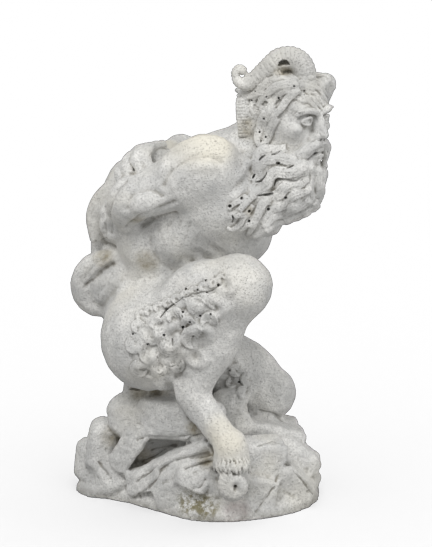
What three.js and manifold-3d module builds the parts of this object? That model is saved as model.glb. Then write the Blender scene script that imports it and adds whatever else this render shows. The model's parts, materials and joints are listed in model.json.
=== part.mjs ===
// A horned, bearded faun carved with its rock from one block of pale limestone.
// It crouches to the right with one knee up, its arms folded behind its bent back over a gathered hide.
// Frame: +Z up, +X the way the figure leans, -Y its right side; the origin is the middle of the flat underside.
import * as THREE from "three";
import { edgeTable, triTable } from "three/addons/objects/MarchingCubes.js";
import Module from "manifold-3d";

// Driving dimensions, in millimetres.
const FIGURE_HEIGHT = 1100; // underside to the top of the horn
const ROCK_LENGTH = 600;
const ROCK_DEPTH = 450;
const SEAT_HEIGHT = 275; // underside to the ledge that the haunch sits on
const UNDERSIDE = 0; // height of the sawn bed that the statue stands on

// The grain that the block is carved at, and how many facets the finished solid keeps.
const GRAIN = 6.5;
const FACETS = 9400;

// Every place and radius of the figure is a share of its height, written at the height it was drawn at.
const DRAWN_HEIGHT = 1100;
const UNIT = FIGURE_HEIGHT / DRAWN_HEIGHT;
const at = (x, y, z) => new THREE.Vector3(x, y, z).multiplyScalar(UNIT);

// The rock's slabs keep their places as shares of its own length, depth and seat height.
const DRAWN_ROCK = { length: 600, depth: 450, seat: 275 };
const onRock = (x, y, z) =>
  new THREE.Vector3(
    (x * ROCK_LENGTH) / DRAWN_ROCK.length,
    (y * ROCK_DEPTH) / DRAWN_ROCK.depth,
    UNDERSIDE + (z * SEAT_HEIGHT) / DRAWN_ROCK.seat,
  );

// Own axes for a part of the body: forward, left and up, from how far it is turned and how far it leans.
class Frame {
  constructor(origin, turn, lean) {
    const facing = new THREE.Vector3(1, 0, 0).applyAxisAngle(new THREE.Vector3(0, 0, 1), radians(turn));
    const side = new THREE.Vector3(0, 0, 1).cross(facing);
    this.origin = origin;
    this.forward = facing.clone().applyAxisAngle(side, radians(lean));
    this.up = this.forward.clone().cross(side).normalize();
    this.left = this.up.clone().cross(this.forward);
  }

  direction(forward, left, up) {
    return new THREE.Vector3()
      .addScaledVector(this.forward, forward)
      .addScaledVector(this.left, left)
      .addScaledVector(this.up, up);
  }

  point(forward, left, up) {
    return this.direction(forward, left, up).multiplyScalar(UNIT).add(this.origin);
  }
}

function radians(degrees) {
  return THREE.MathUtils.degToRad(degrees);
}

// Shapes. Each gives a box that holds it and its distance from a point, negative inside.
function shapeOf(points, reach, distance) {
  const box = new THREE.Box3().setFromPoints(points).expandByScalar(reach);
  return { box, distance };
}

// An ellipsoid whose long axis runs from one point to another, broad across and flattened towards a direction.
function muscle(from, to, width, thickness, facing, overrun = 1) {
  const long = to.clone().sub(from);
  const radii = [(width / 2) * UNIT, (thickness / 2) * UNIT, (long.length() / 2) * overrun];
  long.normalize();
  const out = facing.clone().addScaledVector(long, -facing.dot(long)).normalize();
  const across = out.clone().cross(long);
  return ellipsoidOf(from.clone().lerp(to, 0.5), radii, [across, out, long]);
}

// An ellipsoid with its radii along the forward, left and up of a frame.
function mass(frame, place, radii) {
  return ellipsoidOf(
    frame.point(...place),
    radii.map((r) => r * UNIT),
    [frame.forward, frame.left, frame.up],
  );
}

function ellipsoidOf(centre, radii, axes) {
  const [p, q, r] = radii;
  const [u, v, w] = axes;
  const smallest = Math.min(p, q, r);
  return shapeOf([centre], Math.max(p, q, r), (x, y, z) => {
    const dx = x - centre.x;
    const dy = y - centre.y;
    const dz = z - centre.z;
    const a = (dx * u.x + dy * u.y + dz * u.z) / p;
    const b = (dx * v.x + dy * v.y + dz * v.z) / q;
    const c = (dx * w.x + dy * w.y + dz * w.z) / r;
    const near = Math.hypot(a, b, c);
    const slope = Math.hypot(a / p, b / q, c / r);
    return slope < 1e-9 ? -smallest : (near * (near - 1)) / slope;
  });
}

function ball(centre, radius) {
  const r = radius * UNIT;
  return shapeOf([centre], r, (x, y, z) => Math.hypot(x - centre.x, y - centre.y, z - centre.z) - r);
}

// A tube through points, whose radius is given along it from 0 to 1. Two points make a tapered limb.
function tube(points, radiusAt, steps = 14) {
  const straight = points.length === 2;
  const line = straight ? points : new THREE.CatmullRomCurve3(points).getPoints(steps);
  const last = line.length - 1;
  const radii = line.map((_, i) => radiusAt(i / last) * UNIT);
  const legs = line.slice(1).map((to, i) => {
    const from = line[i];
    const run = to.clone().sub(from);
    return { from, run, length2: run.lengthSq(), start: radii[i], gain: radii[i + 1] - radii[i] };
  });
  return shapeOf(line, Math.max(...radii), (x, y, z) => {
    let nearest = Infinity;
    for (const { from, run, length2, start, gain } of legs) {
      const dx = x - from.x;
      const dy = y - from.y;
      const dz = z - from.z;
      const t = Math.min(1, Math.max(0, (dx * run.x + dy * run.y + dz * run.z) / length2));
      const gap = Math.hypot(dx - t * run.x, dy - t * run.y, dz - t * run.z) - start - t * gain;
      if (gap < nearest) nearest = gap;
    }
    return nearest;
  });
}

const taper = (from, to) => (t) => from + (to - from) * t;
const swell = (ends, middle) => (t) => ends + (middle - ends) * Math.sin(Math.PI * t);

// A block of stone with worn edges.
function block(centre, half, turned, edge) {
  const back = turned.clone().invert();
  const local = new THREE.Vector3();
  const [a, b, c] = half.map((h) => h - edge);
  return shapeOf([centre], Math.hypot(...half), (x, y, z) => {
    local.set(x - centre.x, y - centre.y, z - centre.z).applyQuaternion(back);
    const dx = Math.abs(local.x) - a;
    const dy = Math.abs(local.y) - b;
    const dz = Math.abs(local.z) - c;
    const outside = Math.hypot(Math.max(dx, 0), Math.max(dy, 0), Math.max(dz, 0));
    return outside + Math.min(Math.max(dx, dy, dz), 0) - edge;
  });
}

// A long block of stone with worn edges that runs from one point to another.
function bar(from, to, width, thickness, facing, edge) {
  const long = to.clone().sub(from);
  const half = [width / 2, thickness / 2, long.length() / 2 + edge];
  long.normalize();
  const out = facing.clone().addScaledVector(long, -facing.dot(long)).normalize();
  const turned = new THREE.Quaternion().setFromRotationMatrix(
    new THREE.Matrix4().makeBasis(out.clone().cross(long), out, long),
  );
  return block(from.clone().lerp(to, 0.5), half, turned, edge);
}

// An upright column set in from an outline, which narrows by a share of its height.
function column(outline, bottom, top, inset, slope) {
  const closed = new THREE.CatmullRomCurve3(outline, true).getPoints(4 * outline.length);
  const points = [...closed.map((p) => p.clone().setZ(bottom)), ...closed.map((p) => p.clone().setZ(top))];
  return shapeOf(points, 40, (x, y, z) => {
    let nearest = Infinity;
    let inside = false;
    for (let n = 1; n < closed.length; n++) {
      const a = closed[n - 1];
      const b = closed[n];
      const run = [b.x - a.x, b.y - a.y];
      const t = ((x - a.x) * run[0] + (y - a.y) * run[1]) / (run[0] ** 2 + run[1] ** 2);
      const held = Math.min(1, Math.max(0, t));
      nearest = Math.min(nearest, Math.hypot(x - a.x - held * run[0], y - a.y - held * run[1]));
      if (a.y > y !== b.y > y && x < a.x + (run[0] * (y - a.y)) / run[1]) inside = !inside;
    }
    return Math.max((inside ? -nearest : nearest) + inset + slope * Math.max(0, z), z - top, bottom - z);
  });
}

// The block being carved: a grid of distances to the surface, which shapes are added to and cut from.
class Stone {
  constructor(low, high, grain) {
    this.low = low;
    this.grain = grain;
    this.counts = high.clone().sub(low).divideScalar(grain).ceil().addScalar(1).toArray();
    this.strides = [1, this.counts[0], this.counts[0] * this.counts[1]];
    this.field = new Float32Array(this.strides[2] * this.counts[2]).fill(Stone.FAR);
  }

  static FAR = 1000;

  add(shape, blend = 0) {
    this.work(shape, blend * UNIT, (old, d, k) => {
      const h = Math.max(k - Math.abs(old - d), 0);
      return Math.min(old, d) - (k ? (h * h) / (4 * k) : 0);
    });
  }

  cut(shape, blend = 0) {
    this.work(shape, blend * UNIT, (old, d, k) => {
      const h = Math.max(k - Math.abs(old + d), 0);
      return Math.max(old, -d) + (k ? (h * h) / (4 * k) : 0);
    });
  }

  // Takes away what lies outside a shape, within the shape's own box.
  keep(shape, blend = 0) {
    this.work(shape, blend * UNIT, (old, d, k) => {
      const h = Math.max(k - Math.abs(old - d), 0);
      return Math.max(old, d) + (k ? (h * h) / (4 * k) : 0);
    });
  }

  work({ box, distance }, blend, rule) {
    const reach = blend + 3 * this.grain;
    const first = box.min.clone().subScalar(reach).sub(this.low).divideScalar(this.grain).floor().toArray();
    const last = box.max.clone().addScalar(reach).sub(this.low).divideScalar(this.grain).ceil().toArray();
    const [i0, j0, k0] = first.map((n) => Math.max(n, 0));
    const [i1, j1, k1] = last.map((n, axis) => Math.min(n, this.counts[axis] - 1));
    for (let k = k0; k <= k1; k++) {
      const z = this.low.z + k * this.grain;
      for (let j = j0; j <= j1; j++) {
        const y = this.low.y + j * this.grain;
        const row = j * this.strides[1] + k * this.strides[2];
        for (let i = i0; i <= i1; i++) {
          const x = this.low.x + i * this.grain;
          this.field[row + i] = rule(this.field[row + i], distance(x, y, z), blend);
        }
      }
    }
  }

  // Marks every grid point that a walk from the start reaches over points of the same kind.
  reached(start, isKind) {
    const seen = new Uint8Array(this.field.length);
    const queue = [start];
    seen[start] = 1;
    while (queue.length) {
      const n = queue.pop();
      for (const stride of this.strides) {
        for (const m of [n - stride, n + stride]) {
          if (m < 0 || m >= seen.length || seen[m] || !isKind(this.field[m])) continue;
          seen[m] = 1;
          queue.push(m);
        }
      }
    }
    return seen;
  }

  // One block has no sealed pockets and no loose crumbs.
  makeOneBlock(inside) {
    const air = this.reached(0, (d) => d > 0);
    const solid = this.reached(this.indexAt(inside), (d) => d <= 0);
    for (let n = 0; n < this.field.length; n++) {
      const isAir = this.field[n] > 0;
      if (isAir && !air[n]) this.field[n] = -this.grain;
      if (!isAir && !solid[n]) this.field[n] = this.grain;
    }
  }

  indexAt(place) {
    const [i, j, k] = place.clone().sub(this.low).divideScalar(this.grain).round().toArray();
    return i + j * this.strides[1] + k * this.strides[2];
  }

  // The first place on the skin that a straight line meets, or null.
  meet(from, direction, reach) {
    const place = from.clone();
    const step = this.grain / 2;
    for (let gone = 0; gone < reach; gone += step) {
      if (this.field[this.indexAt(place)] <= 0) return place;
      place.addScaledVector(direction, step);
    }
    return null;
  }

  // The surface as shared corners and triangles, by marching cubes.
  surface() {
    const { field, strides, counts, grain, low } = this;
    const corners = [0, 1, 1 + strides[1], strides[1]];
    corners.push(...corners.map((c) => c + strides[2]));
    const edges = [
      [0, 0], [1, 1], [3, 0], [0, 1], [4, 0], [5, 1], [7, 0], [4, 1], [0, 2], [1, 2], [2, 2], [3, 2],
    ];
    const made = new Map();
    const points = [];
    const triangles = [];
    const crossing = (cell, edge) => {
      const [corner, axis] = edges[edge];
      const start = cell + corners[corner];
      const key = start * 3 + axis;
      if (made.has(key)) return made.get(key);
      const from = field[start] || 1e-4;
      const to = field[start + strides[axis]] || 1e-4;
      const share = Math.min(0.98, Math.max(0.02, from / (from - to)));
      const k = Math.floor(start / strides[2]);
      const j = Math.floor((start - k * strides[2]) / strides[1]);
      const place = [start - k * strides[2] - j * strides[1], j, k];
      place[axis] += share;
      points.push(low.x + place[0] * grain, low.y + place[1] * grain, low.z + place[2] * grain);
      made.set(key, points.length / 3 - 1);
      return points.length / 3 - 1;
    };
    for (let k = 0; k < counts[2] - 1; k++) {
      for (let j = 0; j < counts[1] - 1; j++) {
        for (let i = 0; i < counts[0] - 1; i++) {
          const cell = i + j * strides[1] + k * strides[2];
          let kind = 0;
          for (let c = 0; c < 8; c++) if (field[cell + corners[c]] < 0) kind |= 1 << c;
          if (!edgeTable[kind]) continue;
          for (let t = kind * 16; triTable[t] !== -1; t += 3) {
            triangles.push(...[triTable[t + 1], triTable[t], triTable[t + 2]].map((e) => crossing(cell, e)));
          }
        }
      }
    }
    return { points, triangles };
  }
}

// Joins the ends of short and flat edges until only the wanted number of triangles is left. An edge's cost is
// how far its new corner lies from the planes of the faces round it, and a face never turns over.
class Facets {
  constructor({ points, triangles }, careAt) {
    this.points = Float64Array.from(points);
    this.faces = triangles;
    this.live = triangles.length / 3;
    const count = points.length / 3;
    this.round = Array.from({ length: count }, () => []);
    this.stamp = new Uint32Array(count);
    this.planes = new Float64Array(count * 10);
    for (let f = 0; f < this.live; f++) this.addFace(f, careAt);
    this.heap = [];
    for (let f = 0; f < this.live; f++) {
      const [a, b, c] = this.cornersOf(f);
      for (const [p, q] of [[a, b], [b, c], [c, a]]) if (p < q) this.offer(p, q);
    }
  }

  cornersOf(f) {
    return [this.faces[3 * f], this.faces[3 * f + 1], this.faces[3 * f + 2]];
  }

  corner(v) {
    return [this.points[3 * v], this.points[3 * v + 1], this.points[3 * v + 2]];
  }

  addFace(f, careAt) {
    const corners = this.cornersOf(f);
    const [a, b, c] = corners.map((v) => this.corner(v));
    const normal = faceNormal(a, b, c);
    const size = Math.hypot(...normal);
    if (size > 0) {
      const [x, y, z] = normal.map((n) => n / size);
      const d = -(x * a[0] + y * a[1] + z * a[2]);
      const weight = (size / 2) * careAt(...a);
      const plane = [x * x, x * y, x * z, x * d, y * y, y * z, y * d, z * z, z * d, d * d];
      for (const v of corners) plane.forEach((n, i) => (this.planes[10 * v + i] += n * weight));
    }
    for (const v of corners) this.round[v].push(f);
  }

  costOf(q, x, y, z) {
    return (
      q[0] * x * x + 2 * q[1] * x * y + 2 * q[2] * x * z + 2 * q[3] * x + q[4] * y * y +
      2 * q[5] * y * z + 2 * q[6] * y + q[7] * z * z + 2 * q[8] * z + q[9]
    );
  }

  offer(a, b) {
    const q = new Array(10);
    for (let i = 0; i < 10; i++) q[i] = this.planes[10 * a + i] + this.planes[10 * b + i];
    const p = this.corner(a);
    const r = this.corner(b);
    const middle = p.map((n, i) => (n + r[i]) / 2);
    const length2 = (p[0] - r[0]) ** 2 + (p[1] - r[1]) ** 2 + (p[2] - r[2]) ** 2;
    let best = middle;
    const minor = [q[4] * q[7] - q[5] * q[5], q[2] * q[5] - q[1] * q[7], q[1] * q[5] - q[2] * q[4]];
    const det = q[0] * minor[0] + q[1] * minor[1] + q[2] * minor[2];
    if (Math.abs(det) > 1e-3 * q[0] * q[4] * q[7] && det) {
      const others = [q[0] * q[7] - q[2] * q[2], q[1] * q[2] - q[0] * q[5], q[0] * q[4] - q[1] * q[1]];
      const x = -(minor[0] * q[3] + minor[1] * q[6] + minor[2] * q[8]) / det;
      const y = -(minor[1] * q[3] + others[0] * q[6] + others[1] * q[8]) / det;
      const z = -(minor[2] * q[3] + others[1] * q[6] + others[2] * q[8]) / det;
      const off = (x - middle[0]) ** 2 + (y - middle[1]) ** 2 + (z - middle[2]) ** 2;
      if (off < length2) best = [x, y, z];
    }
    const cost = Math.max(0, this.costOf(q, ...best)) + 1e-3 * length2;
    this.push({ cost, a, b, best, ages: this.stamp[a] + this.stamp[b] });
  }

  push(item) {
    const { heap } = this;
    let n = heap.push(item) - 1;
    while (n > 0) {
      const up = (n - 1) >> 1;
      if (heap[up].cost <= item.cost) break;
      heap[n] = heap[up];
      n = up;
    }
    heap[n] = item;
  }

  pop() {
    const { heap } = this;
    const top = heap[0];
    const item = heap.pop();
    if (!heap.length) return top;
    let n = 0;
    for (;;) {
      let down = 2 * n + 1;
      if (down >= heap.length) break;
      if (down + 1 < heap.length && heap[down + 1].cost < heap[down].cost) down++;
      if (heap[down].cost >= item.cost) break;
      heap[n] = heap[down];
      n = down;
    }
    heap[n] = item;
    return top;
  }

  neighbours(v) {
    const found = new Set();
    for (const f of this.round[v]) for (const c of this.cornersOf(f)) if (c !== v) found.add(c);
    return found;
  }

  turnsOver(v, other, best) {
    for (const f of this.round[v]) {
      const corners = this.cornersOf(f);
      if (corners.includes(other)) continue;
      const before = faceNormal(...corners.map((c) => this.corner(c)));
      const after = faceNormal(...corners.map((c) => (c === v ? best : this.corner(c))));
      const dot = before[0] * after[0] + before[1] * after[1] + before[2] * after[2];
      if (dot < 0.25 * Math.hypot(...before) * Math.hypot(...after) || Math.hypot(...after) < 1e-2) return true;
    }
    return false;
  }

  join({ a, b, best }) {
    const near = this.neighbours(a);
    const shared = [...this.neighbours(b)].filter((v) => near.has(v));
    if (shared.length !== 2 || this.turnsOver(a, b, best) || this.turnsOver(b, a, best)) return;
    const gone = this.round[a].filter((f) => this.cornersOf(f).includes(b));
    this.points.set(best, 3 * a);
    for (let i = 0; i < 10; i++) this.planes[10 * a + i] += this.planes[10 * b + i];
    for (const f of this.round[b]) {
      for (let i = 0; i < 3; i++) if (this.faces[3 * f + i] === b) this.faces[3 * f + i] = a;
      if (!gone.includes(f)) this.round[a].push(f);
    }
    for (const f of gone) {
      for (const v of this.cornersOf(f)) this.round[v] = this.round[v].filter((g) => g !== f);
      this.faces[3 * f] = -1;
    }
    this.round[b] = [];
    this.live -= gone.length;
    this.stamp[a] += 1;
    for (const v of this.neighbours(a)) this.offer(a, v);
  }

  reduceTo(wanted) {
    while (this.live > wanted && this.heap.length) {
      const next = this.pop();
      if (this.stamp[next.a] + this.stamp[next.b] !== next.ages) continue;
      if (this.round[next.a].length && this.round[next.b].length) this.join(next);
    }
    const place = new Map();
    const points = [];
    const triangles = [];
    for (let f = 0; f < this.faces.length / 3; f++) {
      if (this.faces[3 * f] < 0) continue;
      for (const v of this.cornersOf(f)) {
        if (!place.has(v)) place.set(v, points.push(...this.corner(v)) / 3 - 1);
        triangles.push(place.get(v));
      }
    }
    return { points, triangles };
  }
}

function faceNormal(a, b, c) {
  const u = [b[0] - a[0], b[1] - a[1], b[2] - a[2]];
  const v = [c[0] - a[0], c[1] - a[1], c[2] - a[2]];
  return [u[1] * v[2] - u[2] * v[1], u[2] * v[0] - u[0] * v[2], u[0] * v[1] - u[1] * v[0]];
}

// The pose.
const torso = new Frame(at(50, 4, 735), -20, 30);
const head = new Frame(at(214, -62, 942), -44, 4);
const level = new Frame(at(0, 0, 0), 0, 0);
const towardsViewer = new THREE.Vector3(0, -1, 0);
const awayFromViewer = new THREE.Vector3(0, 1, 0);
const backwards = new THREE.Vector3(-1, 0, 0);
const upwards = new THREE.Vector3(0, 0, 1);

const joints = {
  pelvis: at(-118, 25, 440),
  neck: at(112, -18, 826),
  nearShoulder: at(22, -118, 816),
  nearElbow: at(-146, -128, 752),
  nearWrist: at(-186, -34, 672),
  farShoulder: at(112, 118, 776),
  farElbow: at(-40, 186, 812),
  farWrist: at(-102, 20, 828),
  nearHip: at(-114, -84, 412),
  nearKnee: at(96, -176, 556),
  nearHock: at(-8, -150, 296),
  nearFetlock: at(80, -196, 182),
  nearHoof: at(86, -214, 90),
  farHip: at(-92, 120, 395),
  farKnee: at(176, 92, 232),
  farHock: at(-90, 172, 150),
  farHoof: at(-196, 160, 78),
};

function carveTorso(stone) {
  stone.add(mass(torso, [0, 0, 0], [134, 148, 160]));
  stone.add(mass(level, [34, 0, 786], [122, 132, 84]), 30);
  stone.add(mass(level, [72, 4, 652], [106, 112, 92]), 40);
  stone.add(mass(level, [-50, 18, 560], [116, 104, 122]), 44);
  stone.add(mass(level, [-112, 22, 458], [112, 148, 118]), 44);
  // The near flank and ribs swell below the arm, and the side fills the armpit.
  stone.add(mass(level, [-112, -34, 634], [74, 76, 88]), 30);
  stone.add(mass(level, [-64, -62, 664], [66, 68, 70]), 16);
  stone.add(mass(level, [54, -84, 742], [102, 94, 86]), 34);
  stone.add(mass(level, [-70, -14, 788], [92, 92, 52]), 24);
  stone.cut(mass(level, [30, -150, 624], [38, 54, 30]), 26);
  // Pectorals, the wide muscle of the side, ribs, and the rows of the belly.
  for (const side of [-1, 1]) {
    stone.add(mass(torso, [96, 62 * side, 40], [44, 74, 60]), 16);
    stone.add(mass(torso, [-24, 126 * side, -20], [78, 32, 126]), 18);
    for (let rib = 0; rib < 4; rib++) {
      const from = torso.point(30 - rib * 12, (136 - rib * 3) * side, -38 - rib * 30);
      const to = torso.point(104 - rib * 10, (86 - rib * 3) * side, -62 - rib * 30);
      stone.add(tube([from, to], taper(17, 13)), 12);
    }
    for (let row = 0; row < 3; row++) {
      stone.add(mass(torso, [112 - row * 10, 32 * side, -44 - row * 50], [24, 32, 25]), 10);
    }
  }
  const spine = [-2, -1, 0, 1].map((n) => torso.point(-148 + 8 * n * n, 0, n * 80));
  stone.cut(tube(spine, () => 12), 16);
  // The neck is thick, and two cords stand out on it.
  stone.add(tube([joints.neck, head.point(-42, 0, -52)], taper(82, 70)), 30);
  stone.add(tube([torso.point(40, -60, 140), head.point(-40, -46, -58)], taper(26, 20)), 12);
}

// Both arms are bent behind the back. The right one shows in full; the left forearm comes over from behind.
function carveArms(stone) {
  const { nearShoulder, nearElbow, nearWrist, farShoulder, farElbow, farWrist } = joints;
  for (const { shoulder, elbow, wrist, out, girth } of [
    { shoulder: nearShoulder, elbow: nearElbow, wrist: nearWrist, out: towardsViewer, girth: 1 },
    { shoulder: farShoulder, elbow: farElbow, wrist: farWrist, out: awayFromViewer, girth: 0.84 },
  ]) {
    const along = (share, lift = 0) => shoulder.clone().lerp(elbow, share).addScaledVector(out, lift * UNIT);
    stone.add(ball(shoulder, 84 * girth), 24);
    stone.add(tube([shoulder, along(0.55), elbow], taper(74 * girth, 46 * girth)), 20);
    stone.add(muscle(along(-0.3, 22), along(0.5, 26), 138 * girth, 86 * girth, out, 1.05), 12);
    stone.add(muscle(along(0.52, 22), along(1.04, 26), 74 * girth, 62 * girth, out), 7);
    stone.add(ball(elbow, 50 * girth), 12);
    stone.add(tube([elbow, elbow.clone().lerp(wrist, 0.5), wrist], taper(46 * girth, 34 * girth)), 14);
  }
  stone.add(muscle(at(-142, -150, 796), at(-184, -96, 694), 76, 84, backwards, 1.05), 14);
  stone.add(tube([nearWrist, at(-176, 16, 656), at(-160, 80, 640)], taper(36, 36)), 10);
  stone.add(muscle(at(-154, -176, 742), at(-84, -172, 762), 52, 40, towardsViewer), 7);
  // The left hand lies over the right arm, above its elbow, with its fingers bent.
  stone.add(muscle(at(-84, 10, 838), at(-138, -60, 842), 92, 54, upwards, 1.1), 12);
  const fingers = [
    { knuckle: at(-108, -66, 862), bend: at(-118, -92, 846), tip: at(-112, -104, 826) },
    { knuckle: at(-129, -70, 858), bend: at(-140, -98, 842), tip: at(-134, -110, 822) },
    { knuckle: at(-152, -70, 842), bend: at(-164, -96, 824), tip: at(-156, -108, 804) },
    { knuckle: at(-166, -66, 824), bend: at(-180, -88, 806), tip: at(-172, -102, 788) },
  ];
  const wristEnd = at(-104, -10, 840);
  for (const { knuckle, bend, tip } of fingers) {
    const start = wristEnd.clone().lerp(knuckle, 0.6);
    stone.add(tube([start, knuckle, bend, tip], taper(15, 11), 12), 3);
  }
}

// A gathered hide hangs behind the near elbow from the hands to the haunch, and ends in a rolled fold.
function carveHide(stone) {
  stone.add(mass(level, [-166, 62, 690], [64, 112, 126]), 30);
  stone.add(mass(level, [-176, 62, 540], [68, 112, 124]), 30);
  const folds = [
    { line: [at(-172, -46, 792), at(-216, -28, 740), at(-238, -14, 694), at(-240, -4, 636)], width: 25 },
    { line: [at(-186, -66, 760), at(-208, -58, 704), at(-212, -44, 650)], width: 19 },
    {
      line: [at(-150, 10, 806), at(-206, 22, 730), at(-226, 36, 650), at(-232, 44, 560), at(-224, 40, 480)],
      width: 24,
    },
    {
      line: [at(-140, 56, 800), at(-200, 66, 726), at(-220, 78, 640), at(-230, 84, 540), at(-220, 82, 450)],
      width: 24,
    },
    {
      line: [at(-126, 104, 784), at(-178, 110, 710), at(-200, 120, 620), at(-208, 122, 520), at(-200, 118, 440)],
      width: 24,
    },
    { line: [at(-106, 140, 760), at(-150, 148, 690), at(-172, 156, 600), at(-180, 156, 510)], width: 23 },
  ];
  for (const { line, width } of folds) stone.add(tube(line, swell(width * 0.6, width)), 9);
  // The roll turns round on itself below the elbow, round a deep slit.
  stone.add(mass(level, [-222, 4, 532], [44, 48, 62]), 8);
  const roll = [
    at(-168, -22, 594), at(-206, -24, 590), at(-240, -18, 578), at(-264, -8, 552),
    at(-272, -2, 516), at(-262, 2, 486), at(-236, 4, 468), at(-210, -2, 474),
  ];
  stone.add(tube(roll, swell(20, 29), 24), 4);
  stone.add(tube([at(-176, -40, 566), at(-206, -38, 536), at(-226, -30, 502)], swell(16, 26)), 4);
  const slit = [at(-176, -72, 590), at(-212, -74, 572), at(-244, -68, 544), at(-258, -52, 520)];
  stone.cut(tube(slit, swell(4, 9)), 5);
}

function carveLegs(stone) {
  const { nearHip, nearKnee, nearHock, nearFetlock, farHip, farKnee, farHock, farHoof } = joints;
  // Haunch and thigh of the raised near leg.
  stone.add(mass(level, nearHip.clone().divideScalar(UNIT).toArray(), [102, 102, 122]), 26);
  stone.add(tube([nearHip, nearKnee], taper(110, 74)), 26);
  stone.add(muscle(at(-70, -124, 470), at(112, -176, 566), 190, 150, towardsViewer, 1.05), 18);
  stone.add(ball(nearKnee, 74), 14);
  stone.add(muscle(at(100, -186, 604), at(136, -182, 520), 108, 108, towardsViewer, 1.1), 12);
  // Shank, hock and cannon.
  stone.add(tube([nearKnee, nearHock], taper(58, 36)), 16);
  stone.add(muscle(at(88, -172, 520), at(6, -152, 330), 108, 98, towardsViewer), 12);
  stone.add(ball(nearHock, 38), 8);
  stone.add(tube([at(-32, -146, 318), at(-20, -152, 276), at(50, -184, 196)], taper(24, 20)), 8);
  stone.add(tube([nearHock, nearFetlock], taper(34, 30)), 10);
  stone.add(ball(nearFetlock, 38), 8);
  // The far leg kneels: thigh, knee, and a shank that lies back along the rock.
  stone.add(mass(level, farHip.clone().divideScalar(UNIT).toArray(), [106, 96, 116]), 26);
  stone.add(tube([farHip, farKnee], taper(106, 64)), 22);
  stone.add(muscle(at(0, 98, 350), at(200, 88, 240), 150, 140, towardsViewer), 14);
  stone.add(tube([farKnee, farHock], taper(58, 38)), 14);
  stone.add(tube([farHock, farHoof], taper(34, 30)), 12);
  stone.add(muscle(farHoof, at(-250, 146, 50), 70, 64, upwards, 1.2), 8);
}

// The near hoof ends in one ringed curl over the rock, below a ruff of hair at the fetlock.
function carveHoof(stone) {
  const { nearFetlock, nearHoof } = joints;
  const spiral = [];
  for (let step = 0; step <= 18; step++) {
    const turn = radians(100 + step * 28);
    const radius = 27 - step * 0.9;
    spiral.push(nearHoof.clone().add(at(radius * Math.cos(turn), -8 - step * 0.5, radius * Math.sin(turn))));
  }
  stone.add(tube([nearFetlock, nearHoof.clone().add(at(2, 40, 6))], taper(38, 36)), 10);
  stone.add(tube(spiral, taper(16, 9), 40), 2);
  stone.cut(tube([nearHoof.clone().add(at(0, -70, 0)), nearHoof.clone().add(at(0, 0, 0))], () => 6), 3);
  for (let tuft = 0; tuft < 6; tuft++) {
    const turn = radians(-160 + tuft * 30);
    const root = nearFetlock.clone().add(at(24 * Math.cos(turn), 22 * Math.sin(turn), 0));
    const tip = nearFetlock.clone().add(at(36 * Math.cos(turn), 34 * Math.sin(turn), -38));
    stone.add(tube([root, tip], taper(15, 10)), 6);
  }
}

// The skin below a point, along a direction; the point itself where no skin is met, or the way starts inside.
function onSkin(stone, point, inwards, reach = 150) {
  const from = point.clone().addScaledVector(inwards, -reach * 0.4 * UNIT);
  const met = stone.meet(from, inwards, reach * UNIT);
  return met && met.distanceTo(from) > GRAIN ? met : point;
}

// A lock of hair laid on the carved surface. It is pressed on from outside, towards a core inside the body,
// and more straight from the front where it hangs beside the shoulder.
function lay(stone, points, core, radiusAt, blend = 3) {
  const line = new THREE.CatmullRomCurve3(points).getPoints(3 * points.length);
  const beside = core.x - 40 * UNIT;
  const laid = line.map((p) => {
    const inwards = core.clone().sub(p).normalize();
    if (p.x < beside) inwards.x *= 0.2;
    return onSkin(stone, p, inwards.normalize());
  });
  stone.add(tube(laid, radiusAt, 2 * line.length), blend);
}

// Rows of flat comma curls of hair on the flank of the near thigh and on the inside of the far one.
function carveThighCurls(stone) {
  const rows = [
    { from: at(-110, -190, 452), to: at(66, -240, 572), count: 7, size: 22 },
    { from: at(-116, -180, 404), to: at(44, -236, 518), count: 6, size: 25 },
    { from: at(-112, -170, 358), to: at(12, -220, 450), count: 5, size: 27 },
    { from: at(-70, -160, 326), to: at(6, -200, 396), count: 3, size: 25 },
  ];
  const comma = (middle, size, hand, start) =>
    [0, 1, 2, 3, 4, 5].map((step) => {
      const turn = radians(start + step * 48 * hand);
      const radius = size * (1 - step * 0.1);
      const place = middle.clone().add(at(radius * Math.cos(turn), 0, radius * Math.sin(turn)));
      return onSkin(stone, place, awayFromViewer, 260);
    });
  rows.forEach(({ from, to, count, size }, row) => {
    const curls = [];
    for (let n = 0; n < count; n++) {
      const middle = from.clone().lerp(to, n / (count - 1));
      curls.push(comma(middle, size, (n + row) % 2 ? 1 : -1, row * 40 + 60));
    }
    for (const curl of curls) stone.add(tube(curl, taper(12, 8), 16), 4);
  });
  for (const middle of [at(92, 20, 326), at(112, 30, 292), at(120, 40, 258), at(116, 50, 228)]) {
    stone.add(tube(comma(middle, 17, -1, 200), taper(10, 7), 12), 3);
  }
}

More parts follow.
